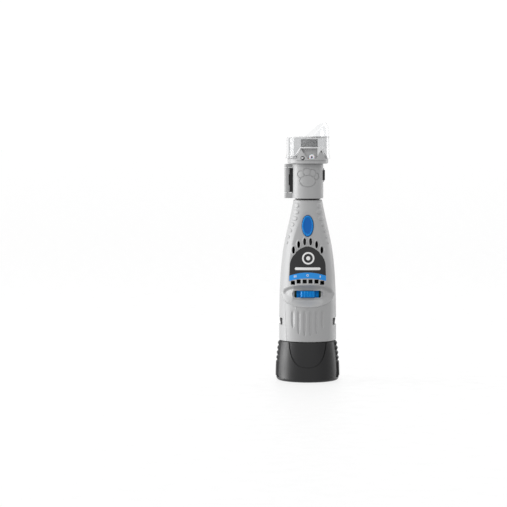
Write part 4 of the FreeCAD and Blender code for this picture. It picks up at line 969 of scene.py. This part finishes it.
def surface(name, colour, rough, grain=0.35, relief=0.006, mottle=0.05, stretch=(1, 1, 1),
            **values):
    """A moulded or machined surface: fine grain in colour and relief, and uneven roughness.
    Grain and relief are in millimetres; values go to the shader's own sockets."""
    material = bpy.data.materials.new(name)
    material.use_nodes = True
    tree = material.node_tree
    shader = tree.nodes["Principled BSDF"]
    place = tree.nodes.new("ShaderNodeTexCoord")
    scale = tree.nodes.new("ShaderNodeMapping")
    scale.inputs["Scale"].default_value = stretch
    tree.links.new(place.outputs["Object"], scale.inputs["Vector"])

    def noise(size, detail):
        made = tree.nodes.new("ShaderNodeTexNoise")
        made.inputs["Scale"].default_value = 1 / (size * MM)
        made.inputs["Detail"].default_value = detail
        tree.links.new(scale.outputs["Vector"], made.inputs["Vector"])
        return made.outputs["Fac"]

    fine, broad = noise(grain, 2), noise(14.0, 3)
    tint = tree.nodes.new("ShaderNodeMix")
    tint.data_type = "RGBA"
    tint.inputs[6].default_value = (*(c * (1 - mottle) for c in colour), 1)
    tint.inputs[7].default_value = (*(min(c * (1 + mottle), 1) for c in colour), 1)
    tree.links.new(fine, tint.inputs[0])
    tree.links.new(tint.outputs[2], shader.inputs["Base Color"])
    spread = tree.nodes.new("ShaderNodeMapRange")
    spread.inputs["From Min"].default_value, spread.inputs["From Max"].default_value = 0.3, 0.7
    spread.inputs["To Min"].default_value = rough * 0.9
    spread.inputs["To Max"].default_value = rough * 1.12
    tree.links.new(broad, spread.inputs["Value"])
    tree.links.new(spread.outputs["Result"], shader.inputs["Roughness"])
    bump = tree.nodes.new("ShaderNodeBump")
    bump.inputs["Strength"].default_value = 1.0
    bump.inputs["Distance"].default_value = relief * MM
    tree.links.new(fine, bump.inputs["Height"])
    tree.links.new(bump.outputs["Normal"], shader.inputs["Normal"])
    for socket_name, value in values.items():
        title = socket_name.replace("_", " ").title().replace("Ior", "IOR")
        shader.inputs[title].default_value = value
    return material


BRUSHED_ROUND = (1, 1, 14)
finishes = {
    "housing_grey": surface("housing_grey", (0.39, 0.392, 0.395), 0.42, 0.3, 0.008, 0.1),
    "collar_grey": surface("collar_grey", (0.39, 0.392, 0.395), 0.42, 0.3, 0.006, 0.06),
    "ring_grey": surface("ring_grey", (0.43, 0.432, 0.435), 0.42, 0.3, 0.006, 0.06),
    "battery_charcoal": surface("battery_charcoal", (0.011, 0.011, 0.012), 0.42, 0.3, 0.008, 0.15),
    "latch_charcoal": surface("latch_charcoal", (0.013, 0.013, 0.014), 0.6, 0.3, 0.01, 0.15,
                              specular_ior_level=0.3),
    "black_plastic": surface("black_plastic", (0.012, 0.012, 0.013), 0.45, 0.4, 0.006, 0.15),
    "nose_black": surface("nose_black", (0.01, 0.01, 0.011), 0.4, 0.4, 0.005, 0.15),
    "bushing_grey": surface("bushing_grey", (0.16, 0.16, 0.165), 0.5, 0.4, 0.006, 0.08),
    "button_blue": surface("button_blue", (0.0005, 0.12, 0.46), 0.36, 0.35, 0.004, 0.05,
                           specular_ior_level=0.25),
    "slider_blue": surface("slider_blue", (0.001, 0.23, 0.66), 0.35, 0.35, 0.004, 0.05,
                           specular_ior_level=0.25),
    "label_black": surface("label_black", (0.018, 0.018, 0.019), 0.3, 0.5, 0.002, 0.1),
    "guard_clear": surface("guard_clear", (0.97, 0.975, 0.98), 0.03, 3.0, 0.004, 0.01,
                           ior=1.49, transmission_weight=1.0),
    "tab_clear": surface("tab_clear", (0.86, 0.87, 0.88), 0.25, 0.6, 0.003, 0.03,
                         subsurface_weight=0.3, subsurface_scale=0.001),
    "bearing_steel": surface("bearing_steel", (0.62, 0.62, 0.63), 0.22, 0.5, 0.002, 0.05,
                             BRUSHED_ROUND, metallic=1.0),
    "nut_steel": surface("nut_steel", (0.55, 0.55, 0.56), 0.26, 0.5, 0.002, 0.06,
                         BRUSHED_ROUND, metallic=1.0),
    "spring_steel": surface("spring_steel", (0.45, 0.45, 0.46), 0.25, 0.4, 0.002, 0.08,
                            metallic=1.0),
    "screw_steel": surface("screw_steel", (0.32, 0.32, 0.33), 0.32, 0.4, 0.003, 0.08,
                           metallic=1.0),
    "motor_steel": surface("motor_steel", (0.045, 0.045, 0.047), 0.4, 0.6, 0.003, 0.06,
                           BRUSHED_ROUND, metallic=1.0),
    "core_steel": surface("core_steel", (0.30, 0.30, 0.31), 0.4, 0.5, 0.02, 0.12,
                          BRUSHED_ROUND, metallic=1.0),
    "magnet_ferrite": surface("magnet_ferrite", (0.05, 0.05, 0.052), 0.6, 0.5, 0.01, 0.15),
    "copper": surface("copper", (0.62, 0.25, 0.11), 0.35, 0.45, 0.05, 0.15, (1, 1, 3),
                      metallic=1.0),
    "contact_brass": surface("contact_brass", (0.72, 0.52, 0.20), 0.28, 0.4, 0.002, 0.06,
                             metallic=1.0),
    "carbon": surface("carbon", (0.02, 0.02, 0.021), 0.7, 0.3, 0.01, 0.2),
    "board_green": surface("board_green", (0.01, 0.10, 0.045), 0.4, 0.8, 0.01, 0.15),
    "lead_red": surface("lead_red", (0.5, 0.015, 0.012), 0.4, 0.4, 0.004, 0.06),
    "lead_black": surface("lead_black", (0.012, 0.012, 0.012), 0.4, 0.4, 0.004, 0.15),
    "cell_wrap": surface("cell_wrap", (0.02, 0.16, 0.12), 0.3, 0.8, 0.002, 0.05),
    "pad_rubber": surface("pad_rubber", (0.02, 0.02, 0.02), 0.75, 0.3, 0.02, 0.15),
}
print_white = surface("print_white", (0.8, 0.8, 0.8), 0.4, 0.3, 0.002, 0.03)
band_blue = surface("band_blue", (0.01, 0.27, 0.75), 0.35, 0.4, 0.002, 0.04)
# Lighter blue for the button's rim: a painted highlight, a lit copy of the button's own blue.
rim_blue_painted_highlight = surface("button_rim_blue_painted_highlight", (0.001, 0.2, 0.6), 0.36, 0.35, 0.004, 0.05,
                   specular_ior_level=0.25)
# Pale, nearly opaque white: painted highlight for the guard's cut edges and for the beads along its
# notch and top.
edge_painted_highlight = surface("guard_edge_painted_highlight", (0.95, 0.95, 0.955), 0.4, 0.3, 0.004, 0.03,
                     ior=1.49, transmission_weight=0.1)
# Darker grey glass for the guard's rear wall: painted shade, standing in for the darker refraction
# seen through the far wall.
wall_painted_shade = surface("guard_wall_painted_shade", (0.62, 0.625, 0.63), 0.2, 3.0, 0.004, 0.01,
                     ior=1.49, transmission_weight=1.0)


def paint(thing, material):
    if not thing.material_slots:
        thing.data.materials.append(None)
    for slot in thing.material_slots:
        slot.link = "OBJECT"
        slot.material = material


for thing in nodes.values():
    paint(thing, finishes[thing.material_slots[0].material.name.split(".")[0]])
for thing in (front_housing, rear_housing, label, lock_button, slider, *latches,
              painted_shade_ring, pivot, stop, guard):
    paint(thing, finishes[thing["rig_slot"]])
# The guard's cut-edge faces take the painted highlight.
guard.data.materials.append(edge_painted_highlight)
guard.data.materials.append(wall_painted_shade)
for face in guard.data.polygons:
    # Rear-wall faces below the top plate take the painted shade.
    rear_wall = face.center.y > 0 and face.center.z < GUARD_CORNER_Z * MM
    face.material_index = 1 if face.index in guard_cut_edges else 2 if rear_wall else 0
for bead in edge_lines:
    paint(bead, edge_painted_highlight)
for mark in marks:
    paint(mark, print_white)
# Faces out towards the rim take the painted highlight.
lock_button.data.materials.append(rim_blue_painted_highlight)
for face in lock_button.data.polygons:
    share_x = face.center.x / MM / BUTTON_HALF[0]
    share_z = (face.center.z / MM - BUTTON_Z) / BUTTON_HALF[1]
    face.material_index = 1 if math.hypot(share_x, share_z) > BUTTON_RIM_FROM else 0
paint(band, band_blue)


# ---- floor, light and camera -------------------------------------------------------------------

BACKDROP_R = 12.0
GLOW = {"emission_color": (1, 1, 1, 1)}


def unlit_by(thing):
    """Keeps a stage piece's brightness out of the light that reaches the object."""
    thing.visible_diffuse = thing.visible_glossy = thing.visible_transmission = False
    thing.visible_shadow = False


def stage_mesh(name, build, material):
    mesh = bpy.data.meshes.new(name)
    form = bmesh.new()
    build(form)
    form.to_mesh(mesh)
    form.free()
    thing = bpy.data.objects.new(name, mesh)
    bpy.context.scene.collection.objects.link(thing)
    paint(thing, material)
    unlit_by(thing)
    return thing


floor = stage_mesh("floor", lambda form: bmesh.ops.create_grid(
    form, x_segments=1, y_segments=1, size=BACKDROP_R),
    surface("floor_white", (0.1, 0.1, 0.1), 0.6, 4.0, 0.0, 0.01, emission_strength=0.78, **GLOW))
floor.location.z = -0.0002
backdrop = stage_mesh("backdrop", lambda form: bmesh.ops.create_uvsphere(
    form, u_segments=48, v_segments=24, radius=BACKDROP_R),
    surface("backdrop_white", (0.0, 0.0, 0.0), 1.0, 400.0, 0.0, 0.0,
            emission_strength=1.02, **GLOW))

FRONT_LIGHT, BACK_LIGHT, BELOW_SHARE, RIGHT_SHARE = 0.67, 1.0, 0.92, 0.6
world = bpy.data.worlds.new("studio")
world.use_nodes = True
bpy.context.scene.world = world
tree = world.node_tree
direction = tree.nodes.new("ShaderNodeTexCoord")
axes = tree.nodes.new("ShaderNodeSeparateXYZ")
tree.links.new(direction.outputs["Generated"], axes.inputs["Vector"])


def graded(axis, span_of_axis, levels):
    """The world's brightness along one axis, from the first level to the second."""
    grade = tree.nodes.new("ShaderNodeMapRange")
    grade.interpolation_type = "SMOOTHSTEP"
    grade.inputs["From Min"].default_value, grade.inputs["From Max"].default_value = span_of_axis
    grade.inputs["To Min"].default_value, grade.inputs["To Max"].default_value = levels
    tree.links.new(axes.outputs[axis], grade.inputs["Value"])
    return grade.outputs["Result"]


def product(one, other):
    times = tree.nodes.new("ShaderNodeMath")
    times.operation = "MULTIPLY"
    tree.links.new(one, times.inputs[0])
    tree.links.new(other, times.inputs[1])
    return times.outputs["Value"]


level = product(graded("Y", (-0.6, 0.5), (FRONT_LIGHT, BACK_LIGHT)),
                product(graded("Z", (-0.4, 0.1), (BELOW_SHARE, 1.0)),
                        graded("X", (0.5, 0.95), (1.0, RIGHT_SHARE))))
tree.links.new(level, tree.nodes["Background"].inputs["Strength"])
tree.nodes["Background"].inputs["Color"].default_value = (1, 1, 1, 1)


def softbox(name, place, target, size, power):
    lamp = bpy.data.lights.new(name, "AREA")
    lamp.shape, lamp.size, lamp.size_y, lamp.energy = "RECTANGLE", size[0], size[1], power
    thing = bpy.data.objects.new(name, lamp)
    thing.location = place
    thing.rotation_euler = (Vector(target) - Vector(place)).to_track_quat("-Z", "Y").to_euler()
    thing.visible_transmission = False
    bpy.context.scene.collection.objects.link(thing)


middle = (0, 0, 0.1)
softbox("left_softbox", (-0.955, 0.1, 0.2), middle, (0.5, 0.9), 9)
softbox("right_softbox", (0.72, 0.62, 0.2), middle, (0.4, 0.9), 2.0)
softbox("top_softbox", (0, -0.7, 0.9), middle, (0.8, 0.5), 3.5)

EYE = Vector((0, -1.5, 0.190))
AIM = Vector((-0.0398, 0, 0.0926))
lens = bpy.data.cameras.new("camera")
lens.lens, lens.sensor_width = 145.3, 36
camera = bpy.data.objects.new("camera", lens)
camera.location = EYE
camera.rotation_euler = (AIM - EYE).to_track_quat("-Z", "Y").to_euler()
bpy.context.scene.collection.objects.link(camera)
bpy.context.scene.camera = camera
bpy.context.scene.view_settings.view_transform = "Standard"
